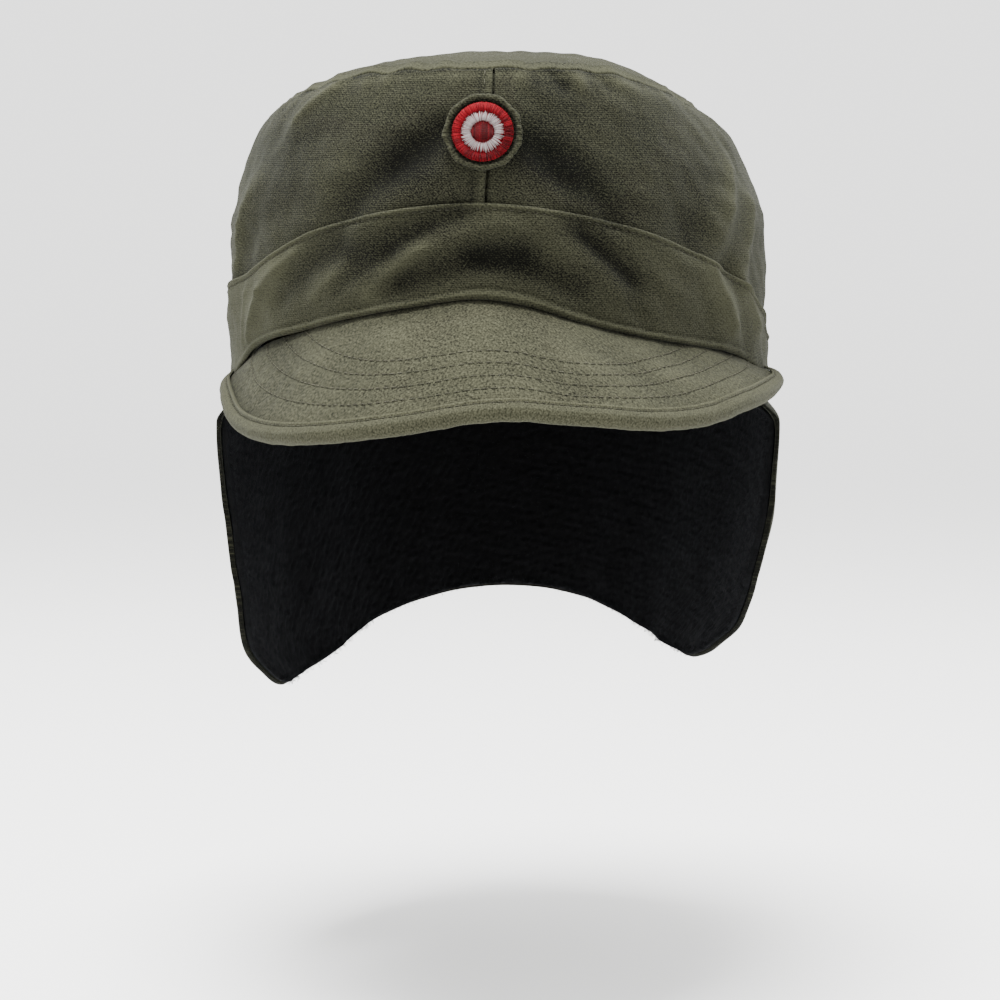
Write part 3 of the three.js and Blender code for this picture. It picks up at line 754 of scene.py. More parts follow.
def side_relief(angle, up, side):
    """What stands out on a side panel: the seams, their puckers and the left panel's lap."""
    below = below_top(angle, up)
    from_front = from_front_seam(angle, up)
    from_back = (180 - np.abs(angle)) * math.radians(RIM_HALF_WIDTH)
    pulled = -PUCKER_DEPTH * pucker(angle, PUCKER_SEED) * bump(below, 4.6, 3.2)
    if side < 0:
        lap = LAP_HEIGHT * (1 - smooth(from_front, 1.2, 5.5)) - 0.3 * bump(from_front, LAP_WIDTH, 0.6)
    else:
        lap = -0.35 * bump(from_front, 0, 1.2)
    return bumps(below, TOP_SEAM_RIDGES) + pulled + lap + bumps(from_back, BACK_SEAM_RIDGES)


# Painted shade from the table of hollows, and painted light where a strength is negative
def shade(angle, up):
    total = 0
    for a, u, da, du, strength in HOLLOWS:
        total = total + strength * np.exp(-((angle - a) / da) ** 2 - ((up - u) / du) ** 2)
    return total


def crown_side(side):
    name = "crown_side_left" if side < 0 else "crown_side_right"
    half_round = math.pi * (RIM_HALF_WIDTH + RIM_HALF_LENGTH) / 2
    t, v, thick = grid(columns=196, length=half_round, rows=92, height=79, rounding=0.8, crowd=0.42)
    front_gap = math.degrees(GAP / 2 / FRONT_REACH) + 0.12
    back_gap = 0.04
    angle = mix(front_seam(v) + front_gap * side, 180 * side - side * back_gap, t)
    up = v * wall_share(angle, top_height(angle) - CROWN_CLOTH - 0.2 + seam_wave(angle))
    below = below_top(angle, up)
    relief = creases(angle, up) + side_relief(angle, up, side)
    roll = -SEAM_ROLL * (1 - smooth(below, 0.6, 2.6))
    half = CROWN_CLOTH / 2
    face = wall(angle, up, -half + relief + roll + half * thick)
    back = wall(angle, up, -half + np.minimum(relief, 0.3) + roll - half * thick)
    weave = stack(angle * REACH, mix(rim_height(angle), top_height(angle), up), 0)
    # Lighter on the lap's raised edge, and painted shade past its stitching
    lap = bumps(from_front_seam(angle, up), LAP_TONES) if side < 0 else 0
    # Painted shadow just under the top seam, and a lighter strip below it
    edge = bumps(below, TOP_SEAM_TONES) + lap
    # Painted shade where the seam's puckers dip inward
    gathers = pucker(angle, PUCKER_SEED) * bump(below, 5, 3.5)
    # Painted shade in the hollows, and the folds' tone of wear, dirt and painted light and shade
    tone = 0.34 * ridges(angle, up) + edge - 0.45 * gathers - 0.7 * shade(angle, up)
    piece = sheet(name + "_cloth", face, back, weave=weave, tone=tone)
    done(piece, CROWN_CLOTH_MATERIAL, "crown_cloth", name)


def crown_top():
    """The domed panel: rings of points from its middle to its rolled edge at the top seam."""
    columns = 320
    angle = np.linspace(-180, 180, columns, endpoint=False)
    edge = wall(angle, 1.0, 0.0) + outward(angle) * (creases(angle, np.ones(columns)) * 0.8)[:, None]
    rows, share = stations(count=40, length=160, rounding=1.1)
    rows, share = rows[len(ROUNDED):], share[len(ROUNDED):]
    v = np.concatenate([[0], (rows[1:] - rows[0]) / (rows[-1] - rows[0])])[:, None]
    thick = np.concatenate([[1], share[1:]])[:, None]
    middle = (top_height(np.array(0.0)) + top_height(np.array(180.0))) / 2
    inward = (1 - v) * np.hypot(edge[:, 0], edge[:, 1])
    waviness = seam_wave(angle) * v ** 6
    height = mix(middle, edge[:, 2], v * v) + DOME_RISE * (1 - v ** DOME_FULLNESS) + waviness
    x = mix(DOME_SHIFT, edge[:, 0], v)
    y = edge[:, 1] * v
    uneven = ripples(x, y, TOP_RIPPLES, TOP_SEED)
    pulled = -TOP_PUCKER_DEPTH * pucker(angle + 3, TOP_PUCKER_SEED) * bump(inward, 4, 3)
    roll = -SEAM_ROLL * (1 - smooth(inward, 0.5, 2.4))
    relief = uneven * (1 - v ** 8) + pulled + roll + 0.25 * bump(inward, 2.6, 1.2)
    half = CROWN_CLOTH / 2
    face = stack(x, y, height - half + relief + half * thick)
    back = stack(x, y, height - half + relief - half * thick)
    # Painted light on the upward-facing panel, a painted highlight along its rolled edge at the seam, and
    # lighter where it bulges
    tone = 0.25 + 0.7 * bump(inward, 0.5, 0.6) + 0.25 * uneven
    piece = sheet("crown_top_cloth", face, back, ring=True, weave=stack(x, y, 0), tone=tone)
    done(piece, CROWN_CLOTH_MATERIAL, "crown_cloth", "crown_top")


def top_seam_tape():
    """The turned-in edges behind the top seam, which close it from inside."""
    angle = np.linspace(-180, 180, 300, endpoint=False)
    below, inward, thick = np.array(TAPE_SECTION).T[:, :, None]
    up = wall_share(angle, top_height(angle) - CROWN_CLOTH - below)
    sides = []
    for depth in (0 * thick, TAPE_CLOTH * thick):
        out = -CROWN_CLOTH - TAPE_SET_IN - depth - inward + np.minimum(0, creases(angle, up))
        point = wall(angle, up, out)
        point[..., 2] += 0.12 * inward - depth * (inward > 0.5)
        sides.append(point)
    done(sheet("crown_seam_tape", *sides, ring=True), CROWN_CLOTH_MATERIAL, "crown_cloth")


def upright_seam_tape(name, middle, top):
    """The turned-in edges behind the upright seam at an angle, up to a share of its height."""
    rows, columns = 60, 11
    up = np.linspace(0.01, top, rows)[:, None]
    across = np.linspace(-TAPE_HALF_WIDTH, TAPE_HALF_WIDTH, columns) / FRONT_REACH * 180 / math.pi
    turn = middle + across
    turn = np.where(turn > 180, turn - 360, turn) + (front_seam(up) if middle == 0 else 0 * up)
    ends = np.minimum(np.sin(math.pi * np.linspace(0, 1, rows)) * 6, 1)[:, None]
    thin = ends * np.array([0] + [1] * (columns - 2) + [0])
    relief = np.minimum(0, creases(turn, up)) - SEAM_ROLL * smooth(up, 0.94, 0.97)
    face = wall(turn, up, relief - CROWN_CLOTH - 0.15)
    back = wall(turn, up, relief - CROWN_CLOTH - 0.15 - TAPE_CLOTH * thin)
    done(sheet(name, face, back), CROWN_CLOTH_MATERIAL, "crown_cloth")


# Front band

def peak_below(angle):
    """1 where the peak comes out from under the band's hem, 0 past its two ends."""
    fade = 12
    left = smooth(angle, PEAK_LEFT_END - fade, PEAK_LEFT_END)
    return left * (1 - smooth(angle, PEAK_RIGHT_END, PEAK_RIGHT_END + fade))


def band_surface(angle, v):
    """How far the band's bead at its upper edge and its hem at the peak stand out."""
    height = band_height(angle) - rim_height(angle)
    low, high = v * height, (1 - v) * height
    full = 1 + 0.55 * bump(angle, 6, 14)
    hem = HEM_BEAD * full * bump(low, HEM_HEIGHT * full, 0.65 * full) - 0.3 * bump(low, 2.1 * full, 0.5)
    return smooth(height, 3, 12) * bumps(high, BAND_EDGE_RIDGES), hem * (1 - smooth(np.abs(angle), 60, 74))


def band_point(angle, v, out):
    share = v * wall_share(angle, band_height(angle))
    bead, hem = band_surface(angle, v)
    tips = bump(angle, PEAK_LEFT_END, 9) + bump(angle, PEAK_RIGHT_END, 12)
    flare = HEM_TIP_FLARE * tips * (1 - v) ** 8
    point = wall(angle, share, out + creases(angle, share) + bead + hem + flare)
    point[..., 2] -= (HEM_DROP * peak_below(angle) + HEM_TIP_DROP * tips) * (1 - v) ** 12
    return point


def front_band():
    length = math.radians(BAND_RIGHT_END - BAND_LEFT_END) * (RIM_HALF_WIDTH + RIM_HALF_LENGTH) / 2
    t, v, thick = grid(columns=350, length=length, rows=84, height=50, rounding=0.9)
    angle = mix(BAND_LEFT_END, BAND_RIGHT_END, t)
    share = v * wall_share(angle, band_height(angle))
    half = BAND_CLOTH / 2
    middle = GAP + half
    face = band_point(angle, v, middle + half * thick + BAND_STAND)
    behind = np.maximum(creases(angle, share), -0.2)
    back = wall(angle, share, middle - half * thick + behind + BAND_STAND)
    weave = stack(angle * REACH, mix(rim_height(angle), band_height(angle), v), 0)
    bead, hem = band_surface(angle, v)
    # Painted light over the whole band and in broad patches round it
    band_painted_light = 0.25 + bumps(angle, BAND_PAINTED_LIGHT)
    # Painted highlight on the hem and painted shade in the grooves above it and under the bead, lighter on
    # the bead, and the folds' wear, dirt and painted light and shade
    tone = 0.8 * np.clip(bead, -1, 1) + 0.5 * hem + 0.6 * ridges(angle, share) + band_painted_light
    piece = sheet("front_band_cloth", face, back, weave=weave, tone=tone)
    done(piece, CROWN_CLOTH_MATERIAL, "crown_cloth", "front_band")


# Peak

def peak_root(peak_angle):
    angle = mix(PEAK_LEFT_END, PEAK_RIGHT_END, (peak_angle + 90) / 180)
    tip = np.clip((np.abs(peak_angle) - 90 + 2 * PEAK_TIP_TURN) / PEAK_TIP_TURN, 0, 1)
    point = wall(angle, 0.0, GAP - CROWN_CLOTH)
    point[..., 2] = rim_height(angle) - GAP - PEAK_TIP_SINK * tip
    return point


def taper(peak_angle, tip_share):
    return mix(1, tip_share, smooth(np.abs(peak_angle), 90 - 2 * PEAK_TIP_TURN, 90))


def peak_edge(peak_angle):
    turn = np.radians(peak_angle)
    power = 2 / PEAK_SQUARENESS
    half = np.where(peak_angle < 0, -PEAK_HALF_WIDTH_LEFT, PEAK_HALF_WIDTH_RIGHT)
    far = stack(
        half * np.abs(np.sin(turn)) ** power,
        -PEAK_CORNER_BACK - (PEAK_REACH - PEAK_CORNER_BACK) * np.maximum(np.cos(turn), 0) ** power,
        -PEAK_EDGE_DROP * along(PEAK_EDGE, peak_angle),
    )
    tip = np.clip((np.abs(peak_angle) - 90 + PEAK_TIP_TURN) / PEAK_TIP_TURN, 0, 1)
    reach = mix(PEAK_TIP_REACH, 1, np.sqrt(1 - tip * tip))
    return mix(peak_root(peak_angle), far, reach[..., None])


def peak_length(peak_angle):
    return np.linalg.norm(peak_edge(peak_angle) - peak_root(peak_angle), axis=-1)


def peak_face(peak_angle, v):
    point = mix(peak_root(peak_angle), peak_edge(peak_angle), v[..., None])
    point[..., 2] += PEAK_CROWN * np.cos(np.radians(peak_angle)) ** 2 * 4 * v * (1 - v)
    return point


def peak_normal(peak_angle, v):
    step = 0.5
    a = np.clip(peak_angle, -90 + step, 90 - step)
    over = peak_face(a + step, v) - peak_face(a - step, v)
    down = peak_face(a, np.clip(v + 0.02, 0, 1)) - peak_face(a, np.clip(v - 0.02, 0, 1))
    return unit(np.cross(down, over))


def peak_rows(peak_angle):
    """How far in from the edge each row of stitching runs: the rows spread apart round the sides."""
    spread = 1 + PEAK_ROW_SPREAD * smooth(np.abs(peak_angle), 15, 62) - 0.12 * bump(peak_angle, 16, 14)
    return [(PEAK_FIRST_ROW + PEAK_ROW_PITCH * k) * spread for k in range(PEAK_ROWS)]


def peak_relief(peak_angle, v):
    """Quilted by the rows of stitching, each at its distance from the edge, and slightly uneven."""
    length = peak_length(peak_angle)
    relief = 0
    for row in peak_rows(peak_angle):
        relief = relief - PEAK_QUILTING * bump((1 - v) * length, row, 0.7)
    return relief + ripples(peak_angle * 1.6, v * length, PEAK_RIPPLES, PEAK_SEED)


def peak():
    t, v, thick = grid(columns=250, length=300, rows=72, height=60, rounding=0.9)
    angle = mix(-90, 90, t)
    half = PEAK_BOARD * taper(angle, PEAK_TIP_THINNING) / 2
    normal = peak_normal(angle, v)
    surface = peak_face(angle, v)
    relief = peak_relief(angle, v) * smooth(2 * half, 0.5, 1.5)
    face = surface + normal * (relief - half + half * thick)[..., None]
    back = surface + normal * (-0.4 * relief - half - half * thick)[..., None]
    weave = stack(surface[..., 0], surface[..., 1] * 0.6, 0)
    # Painted light and shade following the quilting and the unevenness, and painted shade towards the left
    # end
    tone = 0.5 * relief - 0.3 * bump(angle, -80, 26)
    piece = sheet("peak_covered", face, back, weave=weave, tone=tone)
    done(piece, PEAK_CLOTH_MATERIAL, "peak_cloth", "peak")


BINDING_INNER = PEAK_BOARD / 2 + GAP
BINDING_OUTER = BINDING_INNER + BINDING_CLOTH
BINDING_LIP = GAP + BINDING_CLOTH - BINDING_WIDTH


def binding_outline(count):
    """The bound edge's section: over the board, round the edge and back below, then inside again.
    Its columns are outward from the peak's edge, upward, and the distance from its lip."""
    stand = GAP + BINDING_CLOTH
    lip, inner = BINDING_LIP, BINDING_INNER
    flat = np.linspace(lip + 0.35, -0.2, count)
    nose = np.linspace(math.pi / 2, -math.pi / 2, count)
    over = list(zip(flat, BINDING_OUTER + bumps(flat - lip, BINDING_RIDGES), flat - lip))
    round_edge = [(stand * math.cos(a), BINDING_OUTER * math.sin(a), -lip) for a in nose]
    under = [(x, -y, at) for x, y, at in reversed(over)]
    end = [(lip, -(inner + 0.5), 0), (lip + 0.3, -inner, 0), (-0.3, -inner, 0), (GAP, -0.6 * inner, 0)]
    inside = [(x, -y, at) for x, y, at in reversed(end)]
    return np.array(over + round_edge + under + end + inside)


def binding_frames(angle):
    """Along the peak's edge: the middle of its board, and the outward and upward directions."""
    up = peak_normal(angle, np.ones_like(angle))
    run = peak_edge(angle + 0.5) - peak_edge(angle - 0.5)
    size = taper(angle, BINDING_TIP_THINNING)[:, None]
    out = unit(np.cross(run, up)) * size
    board = PEAK_BOARD * taper(angle, PEAK_TIP_THINNING)
    return peak_edge(angle) - up * (board / 2)[:, None], out, up * size


def peak_binding():
    angle = np.linspace(-BINDING_END, BINDING_END, 380)
    centre, out, up = binding_frames(angle)
    x, y, from_lip = binding_outline(9).T
    far, near = np.meshgrid(lengths(centre), lengths(stack(x, y, 0)), indexing="ij")
    fine = ripple(far, near * 0.3, 2.4, BINDING_SEED)
    broad = ripple(far, near * 0.4, 14, BINDING_SEED + 1)
    puckers = 0.05 * fine + 0.05 * broad
    across = x + puckers * (x > -0.2)
    upward = y + puckers * np.sign(y) * (np.abs(y) > BINDING_INNER + 0.3)
    points = centre[:, None] + out[:, None] * across[..., None] + up[:, None] * upward[..., None]
    count, sides = points.shape[:2]
    index = np.arange(count * sides).reshape(count, sides)
    after = np.roll(index, -1, axis=1)
    faces = np.stack([index[:-1], index[1:], after[1:], after[:-1]], -1).reshape(-1, 4)
    caps = cap_quads(index[0])[:, ::-1], cap_quads(index[-1])
    weave = stack(near, far, 0).reshape(-1, 3)
    # Lighter along the lip and a little lighter all round, with painted shade in the stitch groove
    tone = np.tile(np.clip(bumps(from_lip, BINDING_TONES) + 0.15, -1, 1), count)
    piece = build("peak_binding_cloth", points, np.vstack([faces, *caps]), weave, tone)
    done(piece, PEAK_CLOTH_MATERIAL, "peak_cloth", "peak_binding")


def cap_quads(loop):
    """Quads that close the binding's section: each joins a stretch outside to the one across from it."""
    outside, inside = loop[:-8], loop[:-9:-1]
    across = inside[np.linspace(0, 7, len(outside)).round().astype(int)]
    return np.stack([outside[:-1], outside[1:], across[1:], across[:-1]], -1)


# Cockade

THREAD_FLOOR = 2 * GAP + BACKING_CLOTH
THREAD_UP = (0, -1, 0.05)


def on_cockade(radius, turn, out):
    angle = COCKADE_ANGLE + radius * np.cos(turn) / math.radians(FRONT_REACH)
    height = COCKADE_HEIGHT + radius * np.sin(turn)
    return smooth_wall(angle, wall_share(angle, height), out)


def disc(name, radii, outs, floor, columns, wobble=None, tone=None):
    """A round piece on the wall: its radii, how far out it stands at each, and where its back lies."""
    radius, turns = np.meshgrid(radii, np.linspace(0, 2 * math.pi, columns, endpoint=False), indexing="ij")
    out = np.asarray(outs, float)[:, None] + 0 * turns
    if wobble is not None:
        radius, out = wobble(radius, turns, out)
    if tone is not None:
        tone = np.asarray(tone, float)[:, None] + 0 * turns
    face = on_cockade(radius, turns, out)
    back = on_cockade(radius, turns, np.full_like(out, floor))
    back[-1] = face[-1]
    weave = stack(radius * np.cos(turns), radius * np.sin(turns), 0)
    return sheet(name, face, back, ring=True, weave=weave, tone=tone)


def cockade_backing():
    def ragged(radius, turn, out):
        """The turned edge was folded in short straights, and it shows a little wear."""
        ring = smooth(radius, 9.8, 10.8)
        x, y = 12 * np.cos(turn), 12 * np.sin(turn)
        corners = BACKING_CORNER_DEPTH * (0.5 - np.abs(np.sin(BACKING_CORNERS / 2 * turn - 1.9)))
        radius = radius + ring * (corners + ripples(x, y, BACKING_EDGE_RIPPLES, BACKING_SEED))
        return radius, out + ring * (out > 1) * ripples(x, y, BACKING_RIM_RIPPLES, BACKING_SEED + 2)
    radii, outs, tone = np.array(BACKING_SECTION).T
    piece = disc("cockade_backing_cloth", radii, GAP + outs, GAP, 260, ragged, tone)
    done(piece, CROWN_CLOTH_MATERIAL, "crown_cloth", "cockade_backing")


def satin(node, inner, outer, count, rise, ragged, seed, lit, material, slot):
    """A ring of radial threads over a padded base, lit from the upper left by a share of tone."""
    draw = np.random.default_rng(seed)
    even = np.linspace(0, 2 * math.pi, count, endpoint=False)
    turn = even + draw.uniform(-0.35, 0.35, count) * math.pi / count
    start = inner - draw.uniform(0, ragged * 0.5, count)
    end = outer + draw.uniform(-ragged * 0.4, ragged, count)
    t = np.linspace(0, 1, 9)
    radius = mix(start[:, None], end[:, None], t[None])
    turns = turn[:, None] + draw.uniform(-0.03, 0.03, count)[:, None] * t
    arch = rise * np.sin(math.pi * np.clip(t, 0.02, 0.98)) ** SATIN_ROUNDNESS
    out = THREAD_FLOOR + 0.15 + arch + draw.uniform(-0.16, 0.16, count)[:, None]
    thread = draw.uniform(0.9, 1.1, count) * (math.pi * (inner + outer) / count * 0.44)
    tone = draw.uniform(-0.4, 0.4, count) + lit * np.cos(turn - 2.2) - 0.4 * (lit - 0.2)
    paths = on_cockade(radius, turns, out)
    piece = tubes(node + "_thread", paths, thread, tone, sides=8, flat=0.75, up=THREAD_UP)
    base = (rise - 0.35) * np.sin(math.pi * np.linspace(0.03, 0.97, 9)) ** SATIN_ROUNDNESS
    pad = disc(node + "_pad", np.linspace(inner - 0.1, outer - 0.15, 9), THREAD_FLOOR + 0.05 + base,
               THREAD_FLOOR - GAP + 0.05, 96)
    done(pad, RED_THREAD, "red_thread")
    done(piece, material, slot, node)


def cockade_centre():
    draw = np.random.default_rng(CENTRE_SEED)
    x = np.linspace(-CENTRE_RADIUS + 0.12, CENTRE_RADIUS - 0.12, CENTRE_THREADS)[:, None]
    uneven = draw.uniform(-0.12, 0.12, (CENTRE_THREADS, 1))
    half = np.sqrt(np.maximum(CENTRE_RADIUS ** 2 - x ** 2, 0.3)) + uneven
    y = half * np.linspace(-1, 1, 9)
    radius = np.hypot(x, y)
    dome = 0.75 * (1 - (radius / (CENTRE_RADIUS + 0.3)) ** 2)
    out = THREAD_FLOOR + 0.25 + np.maximum(dome, 0) + draw.uniform(-0.06, 0.06, (CENTRE_THREADS, 1))
    paths = on_cockade(radius, np.arctan2(y, x + 0 * y), out)
    tone = draw.uniform(-0.95, -0.4, CENTRE_THREADS)
    piece = tubes("cockade_centre_thread", paths, CENTRE_THREAD, tone, sides=8, flat=0.8, up=THREAD_UP)
    radii, outs = np.array(CENTRE_PAD).T
    pad = disc("cockade_centre_pad", radii, THREAD_FLOOR + outs, THREAD_FLOOR - GAP + 0.05, 48)
    done(pad, RED_THREAD, "red_thread")
    done(piece, RED_THREAD, "red_thread", "cockade_centre")


# Ear and neck flap

def flap_point(angle, depth, inward):
    down = depth / FLAP_DROP
    forward = np.cos(np.radians(angle))
    sine = np.sin(np.radians(angle))
    lean = np.where(angle < 0, along(FLAP_LEAN, down, LEAN_LEFT), along(FLAP_LEAN, down, LEAN_RIGHT))
    straight = np.sign(sine) * (1 - (1 - np.abs(sine)) * np.where(forward > 0, FLAP_STRAIGHTNESS, 1))
    x = FLAP_HALF_WIDTH * lean * straight
    y = -FLAP_HALF_LENGTH * np.where(forward > 0, 1, along(FLAP_LEAN, down, LEAN_BACK)) * forward
    hanging = stack(x, y, 0) - outward(angle) * np.asarray(inward)[..., None]
    tucked = wall(angle, 0.0, -CROWN_CLOTH - GAP - inward)
    point = mix(tucked, hanging, smooth(depth, FLAP_HANG, FLAP_HANG + FLAP_BLEND)[..., None])
    point[..., 2] = -depth
    return point


def flap_reach(angle):
    corner_end = np.where(angle < 0, FLAP_CORNER_LEFT, FLAP_CORNER_RIGHT)
    corner = np.clip((np.abs(angle) - FLAP_FRONT) / (corner_end - FLAP_FRONT), 0, 1)
    curve = (1 - (1 - corner) ** FLAP_CORNER_POWER) ** (1 / FLAP_CORNER_POWER)
    return FLAP_DROP * along(FLAP_EDGE, angle) * mix(FLAP_CORNER, 1, curve)


def flap_grid(margin, columns, rows, rounding):
    """Angle, depth and length along the flap, its edges drawn in by a margin, and the thickness share."""
    length = 2 * math.radians(180 - FLAP_FRONT) * FLAP_HALF_LENGTH
    t, v, thick = grid(columns, length, rows, FLAP_DROP, rounding)
    first = FLAP_FRONT + math.degrees(margin / FLAP_HALF_LENGTH)
    around = mix(first, 360 - first, t)
    angle = np.where(around > 180, around - 360, around)
    depth = mix(margin - (FLAP_TUCK + rim_height(angle)), flap_reach(angle) - margin, v)
    return angle, depth, around * math.radians(FLAP_HALF_LENGTH), thick


def flap_sway(along_mm, depth):
    broad = 0.8 * ripple(along_mm, depth * 0.5, 60, FLAP_SEED)
    return smooth(depth, 12, 50) * (broad + 0.3 * ripple(along_mm, depth, 22, FLAP_SEED + 1))


def flap_shell():
    angle, depth, along_mm, thick = flap_grid(0, columns=212, rows=74, rounding=0.9)
    sway = flap_sway(along_mm, depth)
    edge = flap_reach(angle) - depth
    hem = bumps(edge, FLAP_HEM_RIDGES)
    half = FLAP_CLOTH / 2
    face = flap_point(angle, depth, half - sway - hem - half * thick)
    back = flap_point(angle, depth, half - sway + half * thick)
    start = np.minimum(along_mm, along_mm[:, ::-1]) - along_mm.min()
    # Painted shade along the shell's edges, lighter on the hem's ridge and painted shade in its stitch groove
    border = np.maximum(bump(edge, 0, 1.6), bump(start, 0, 1.6)) * smooth(depth, -4, 4)
    tone = 0.6 * hem + 0.1 * ripple(along_mm, depth, 50, FLAP_SEED + 2) - 0.9 * border
    piece = sheet("flap_shell_cloth", face, back, weave=stack(along_mm, depth, 0), tone=tone)
    done(piece, CROWN_CLOTH_MATERIAL, "crown_cloth", "flap_shell")


def flap_lining():
    angle, depth, along_mm, thick = flap_grid(FLEECE_MARGIN, columns=290, rows=100, rounding=1.4)
    clumps = ripples(along_mm, depth, FLEECE_CLUMPS, FLEECE_SEED)
    middle = FLAP_CLOTH + GAP - flap_sway(along_mm, depth) + FLEECE / 2
    back = flap_point(angle, depth, middle - FLEECE / 2 * thick)
    face = flap_point(angle, depth, middle + (FLEECE / 2 + 0.7 * clumps * smooth(depth, -2, 6)) * thick)
    weave = stack(along_mm, depth, 0)
    piece = sheet("flap_lining_fleece", face, back, weave=weave, tone=0.5 * clumps)
    done(piece, FLEECE_MATERIAL, "fleece", "flap_lining")
    fibres(face)


def fibres(face):
    """Loose curled fibres over the fleece, more of them along its lower edge and a few up its sides."""
    draw = np.random.default_rng(FIBRE_SEED)
    rows, columns = face.shape[:2]
    row = np.concatenate([draw.uniform(12, rows - 5, FIBRES), draw.uniform(rows - 6, rows - 3, EDGE_FIBRES)])
    column = np.concatenate([draw.uniform(4, columns - 5, FIBRES), draw.uniform(4, columns - 5, EDGE_FIBRES)])
    side = FIBRES + np.flatnonzero(draw.integers(0, 4, EDGE_FIBRES) == 0)
    end = np.where(draw.uniform(0, 1, len(side)) < 0.5, 4, columns - 5)
    column[side] = end + draw.uniform(-1, 1, len(side))
    row[side] = draw.uniform(14, rows - 4, len(side))
    r, c = row.astype(int), column.astype(int)
    start = mix(face[r, c], face[np.minimum(r + 1, rows - 1), c], (row - r)[:, None])
    normal = unit(np.cross(np.gradient(face, axis=1), np.gradient(face, axis=0)))[r, c]
    inward = np.sum(normal[:, :2] * -start[:, :2], axis=1)
    out = normal * np.sign(inward)[:, None]
    total = len(r)
    aim = unit(draw.normal(0, 1, (total, 3)) + out * 0.9 + np.array([0, 0, -0.5]))
    curl = unit(draw.normal(0, 1, (total, 3)))
    size = draw.uniform(0.9, 2.4, total)[:, None]
    t = np.linspace(0, 1, 3)[None, :, None]
    curved = (curl * size * 0.55)[:, None] * np.sin(math.pi * t)
    paths = start[:, None] + (aim * size)[:, None] * t + curved - out[:, None] * 0.2
    piece = tubes("fleece_fibres", paths, FIBRE, draw.uniform(-0.4, 0.9, total), sides=4)
    done(piece, FLEECE_MATERIAL, "fleece")


# Stitching

def join_stitches(name, lines, slot, thread, length=STITCH_LENGTH, gap=STITCH_GAP, paler=0.0):
    """One piece of all the stitches along lines, each a line of points and its normals."""
    paths = [stitch_paths(line, normal, length, gap, k + 1) for k, (line, normal) in enumerate(lines)]
    paths = np.concatenate(paths)
    tone = np.random.default_rng(len(paths)).uniform(-0.3, 0.5, len(paths)) + paler
    done(tubes(name, paths, thread, tone), SEAM_THREAD, slot)


def side_line(angle, up, side, lift):
    out = creases(angle, up) + side_relief(angle, up, side) + lift
    return wall(angle, up, out), outward(angle)


def crown_stitches():
    up = np.linspace(0.97, 0.5, 200)
    angle = front_seam(up) - math.degrees(LAP_WIDTH / FRONT_REACH)
    shown = from_cockade(angle, up) > COCKADE_RADIUS + 0.8
    above, under = shown & (up > 0.8), shown & (up < 0.8)
    lines = [side_line(angle[keep], up[keep], -1, 0.3) for keep in (above, under)]
    up = np.linspace(0.97, 0.03, 200)
    for side in (-1, 1):
        angle = side * (180 - math.degrees(BACK_STITCH_IN / RIM_HALF_WIDTH)) + 0 * up
        lines.append(side_line(angle, up, side, 0))
    join_stitches("crown_stitches", lines, "crown_cloth", thread=0.2, paler=0.3)


def band_stitches():
    angle = np.linspace(BAND_LEFT_END + 9, BAND_RIGHT_END - 6, 900)
    v = 1 - BAND_STITCH_DOWN / (band_height(angle) - rim_height(angle))
    line = band_point(angle, v, GAP + BAND_CLOTH + BAND_STAND)
    join_stitches("band_stitches", [(line, outward(angle))], "crown_cloth", thread=0.12, length=1.9)


def peak_stitches():
    lines = []
    angles = np.linspace(-88, 88, 900)
    length = peak_length(angles)
    for row in peak_rows(angles):
        v = 1 - row / length
        keep = v > 0.02
        angle, v = angles[keep], v[keep]
        normal = peak_normal(angle, v)
        lines.append((peak_face(angle, v) + normal * (peak_relief(angle, v) + 0.16)[:, None], normal))
    join_stitches("peak_stitches", lines, "peak_cloth", thread=0.18, gap=0.5, paler=0.1)


def binding_stitches():
    angle = np.linspace(-BINDING_END + 2, BINDING_END - 2, 700)
    centre, out, up = binding_frames(angle)
    in_line = centre + out * (BINDING_LIP + BINDING_STITCH_IN)
    lines = [(in_line + up * way * (BINDING_OUTER - 0.28), up * way) for way in (1, -1)]
    join_stitches("binding_stitches", lines, "peak_cloth", thread=0.17, length=1.9, paler=-0.2)


def flap_stitches():
    angle = np.concatenate([np.linspace(FLAP_FRONT + 2, 180, 600), np.linspace(-180, -FLAP_FRONT - 2, 600)])
    depth = flap_reach(angle) - FLAP_STITCH_UP
    around = np.where(angle < 0, angle + 360, angle)
    sway = flap_sway(around * math.radians(FLAP_HALF_LENGTH), depth)
    line = flap_point(angle, depth, 0.25 - sway)
    join_stitches("flap_stitches", [(line, outward(angle))], "crown_cloth", thread=0.17, paler=-0.4)


crown_side(-1)
crown_side(1)
crown_top()
top_seam_tape()
upright_seam_tape("front_seam_tape", 0, 0.96)
upright_seam_tape("back_seam_tape", 180, 0.985)
front_band()
peak()
peak_binding()
cockade_backing()
satin("cockade_red_ring", WHITE_RING_RADIUS - 0.1, RED_RING_RADIUS - 0.3, count=96, rise=RED_THREAD_HEIGHT,
      ragged=0.12, seed=RED_RING_SEED, lit=0.6, material=RED_THREAD, slot="red_thread")
satin("cockade_white_ring", CENTRE_RADIUS - 0.05, WHITE_RING_RADIUS - 0.1, count=74, rise=WHITE_THREAD_HEIGHT,
      ragged=0.55, seed=WHITE_RING_SEED, lit=0.2, material=WHITE_THREAD, slot="white_thread")
cockade_centre()
flap_shell()
flap_lining()
crown_stitches()
band_stitches()
peak_stitches()
binding_stitches()
flap_stitches()


# Floor, light and camera

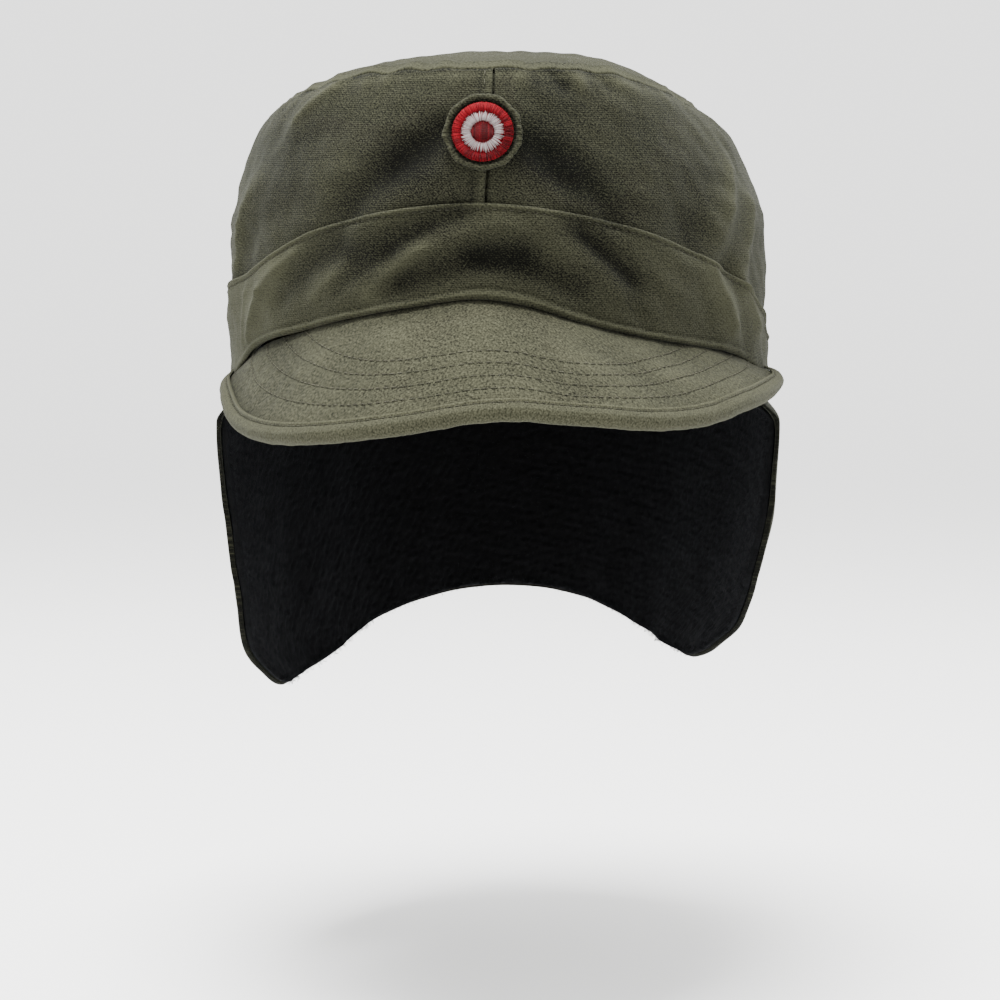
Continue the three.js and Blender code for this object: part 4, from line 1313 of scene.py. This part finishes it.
def place_at(data, place, target):
    """Links a lamp or a camera at a place in metres, facing a target."""
    made = bpy.data.objects.new(data.name, data)
    made.location = place
    made.rotation_euler = (Vector(target) - Vector(place)).to_track_quat("-Z", "Y").to_euler()
    bpy.context.scene.collection.objects.link(made)
    return made


def floor():
    """Pale paper near the cap, which blends into the plain light of the world round it."""
    place = (0, 0, FLOOR_HEIGHT * MM)
    bpy.ops.mesh.primitive_circle_add(vertices=96, radius=FLOOR_RADIUS, fill_type="TRIFAN", location=place)
    ground = bpy.context.object
    ground.name = "floor"
    nodes = Nodes("floor")
    here = nodes.add("TexCoord").outputs["Object"]
    away = nodes.add("VectorMath", {0: here}, operation="LENGTH").outputs["Value"]
    near, far = FLOOR_BLEND
    span = {"Value": away, "From Min": near, "From Max": far}
    blend = nodes.add("MapRange", span, interpolation_type="SMOOTHSTEP")
    paper = nodes.add("BsdfPrincipled", {
        "Base Color": nodes.colours(nodes.noise(here, 3.0), (0.86, 0.86, 0.855), (0.88, 0.88, 0.875)),
        "Roughness": 0.9, "Specular IOR Level": 0.1,
    })
    plain_light = nodes.add("Emission", {"Color": (*PALE, 1), "Strength": AMBIENT})
    mixed = nodes.add("MixShader", {0: blend.outputs[0], 1: paper.outputs[0], 2: plain_light.outputs[0]})
    ground.data.materials.append(nodes.surface(mixed))


def studio():
    world = bpy.data.worlds.new("studio")
    world.use_nodes = True
    world.node_tree.nodes["Background"].inputs[0].default_value = (*PALE, 1)
    world.node_tree.nodes["Background"].inputs[1].default_value = AMBIENT
    bpy.context.scene.world = world
    lamp = bpy.data.lights.new("key", "AREA")
    lamp.size = KEY_SIZE
    lamp.energy = KEY_WATTS
    place_at(lamp, KEY_PLACE, (0, 0, 0))


def camera():
    azimuth, elevation = math.radians(CAMERA_AZIMUTH), math.radians(CAMERA_ELEVATION)
    level = math.cos(elevation)
    away = Vector((math.sin(azimuth) * level, -math.cos(azimuth) * level, math.sin(elevation)))
    lens = bpy.data.cameras.new("camera")
    lens.lens = CAMERA_LENS
    lens.sensor_width = CAMERA_SENSOR
    bpy.context.scene.camera = place_at(lens, away * CAMERA_DISTANCE * MM, Vector(CAMERA_AIM) * MM)


floor()
studio()
camera()
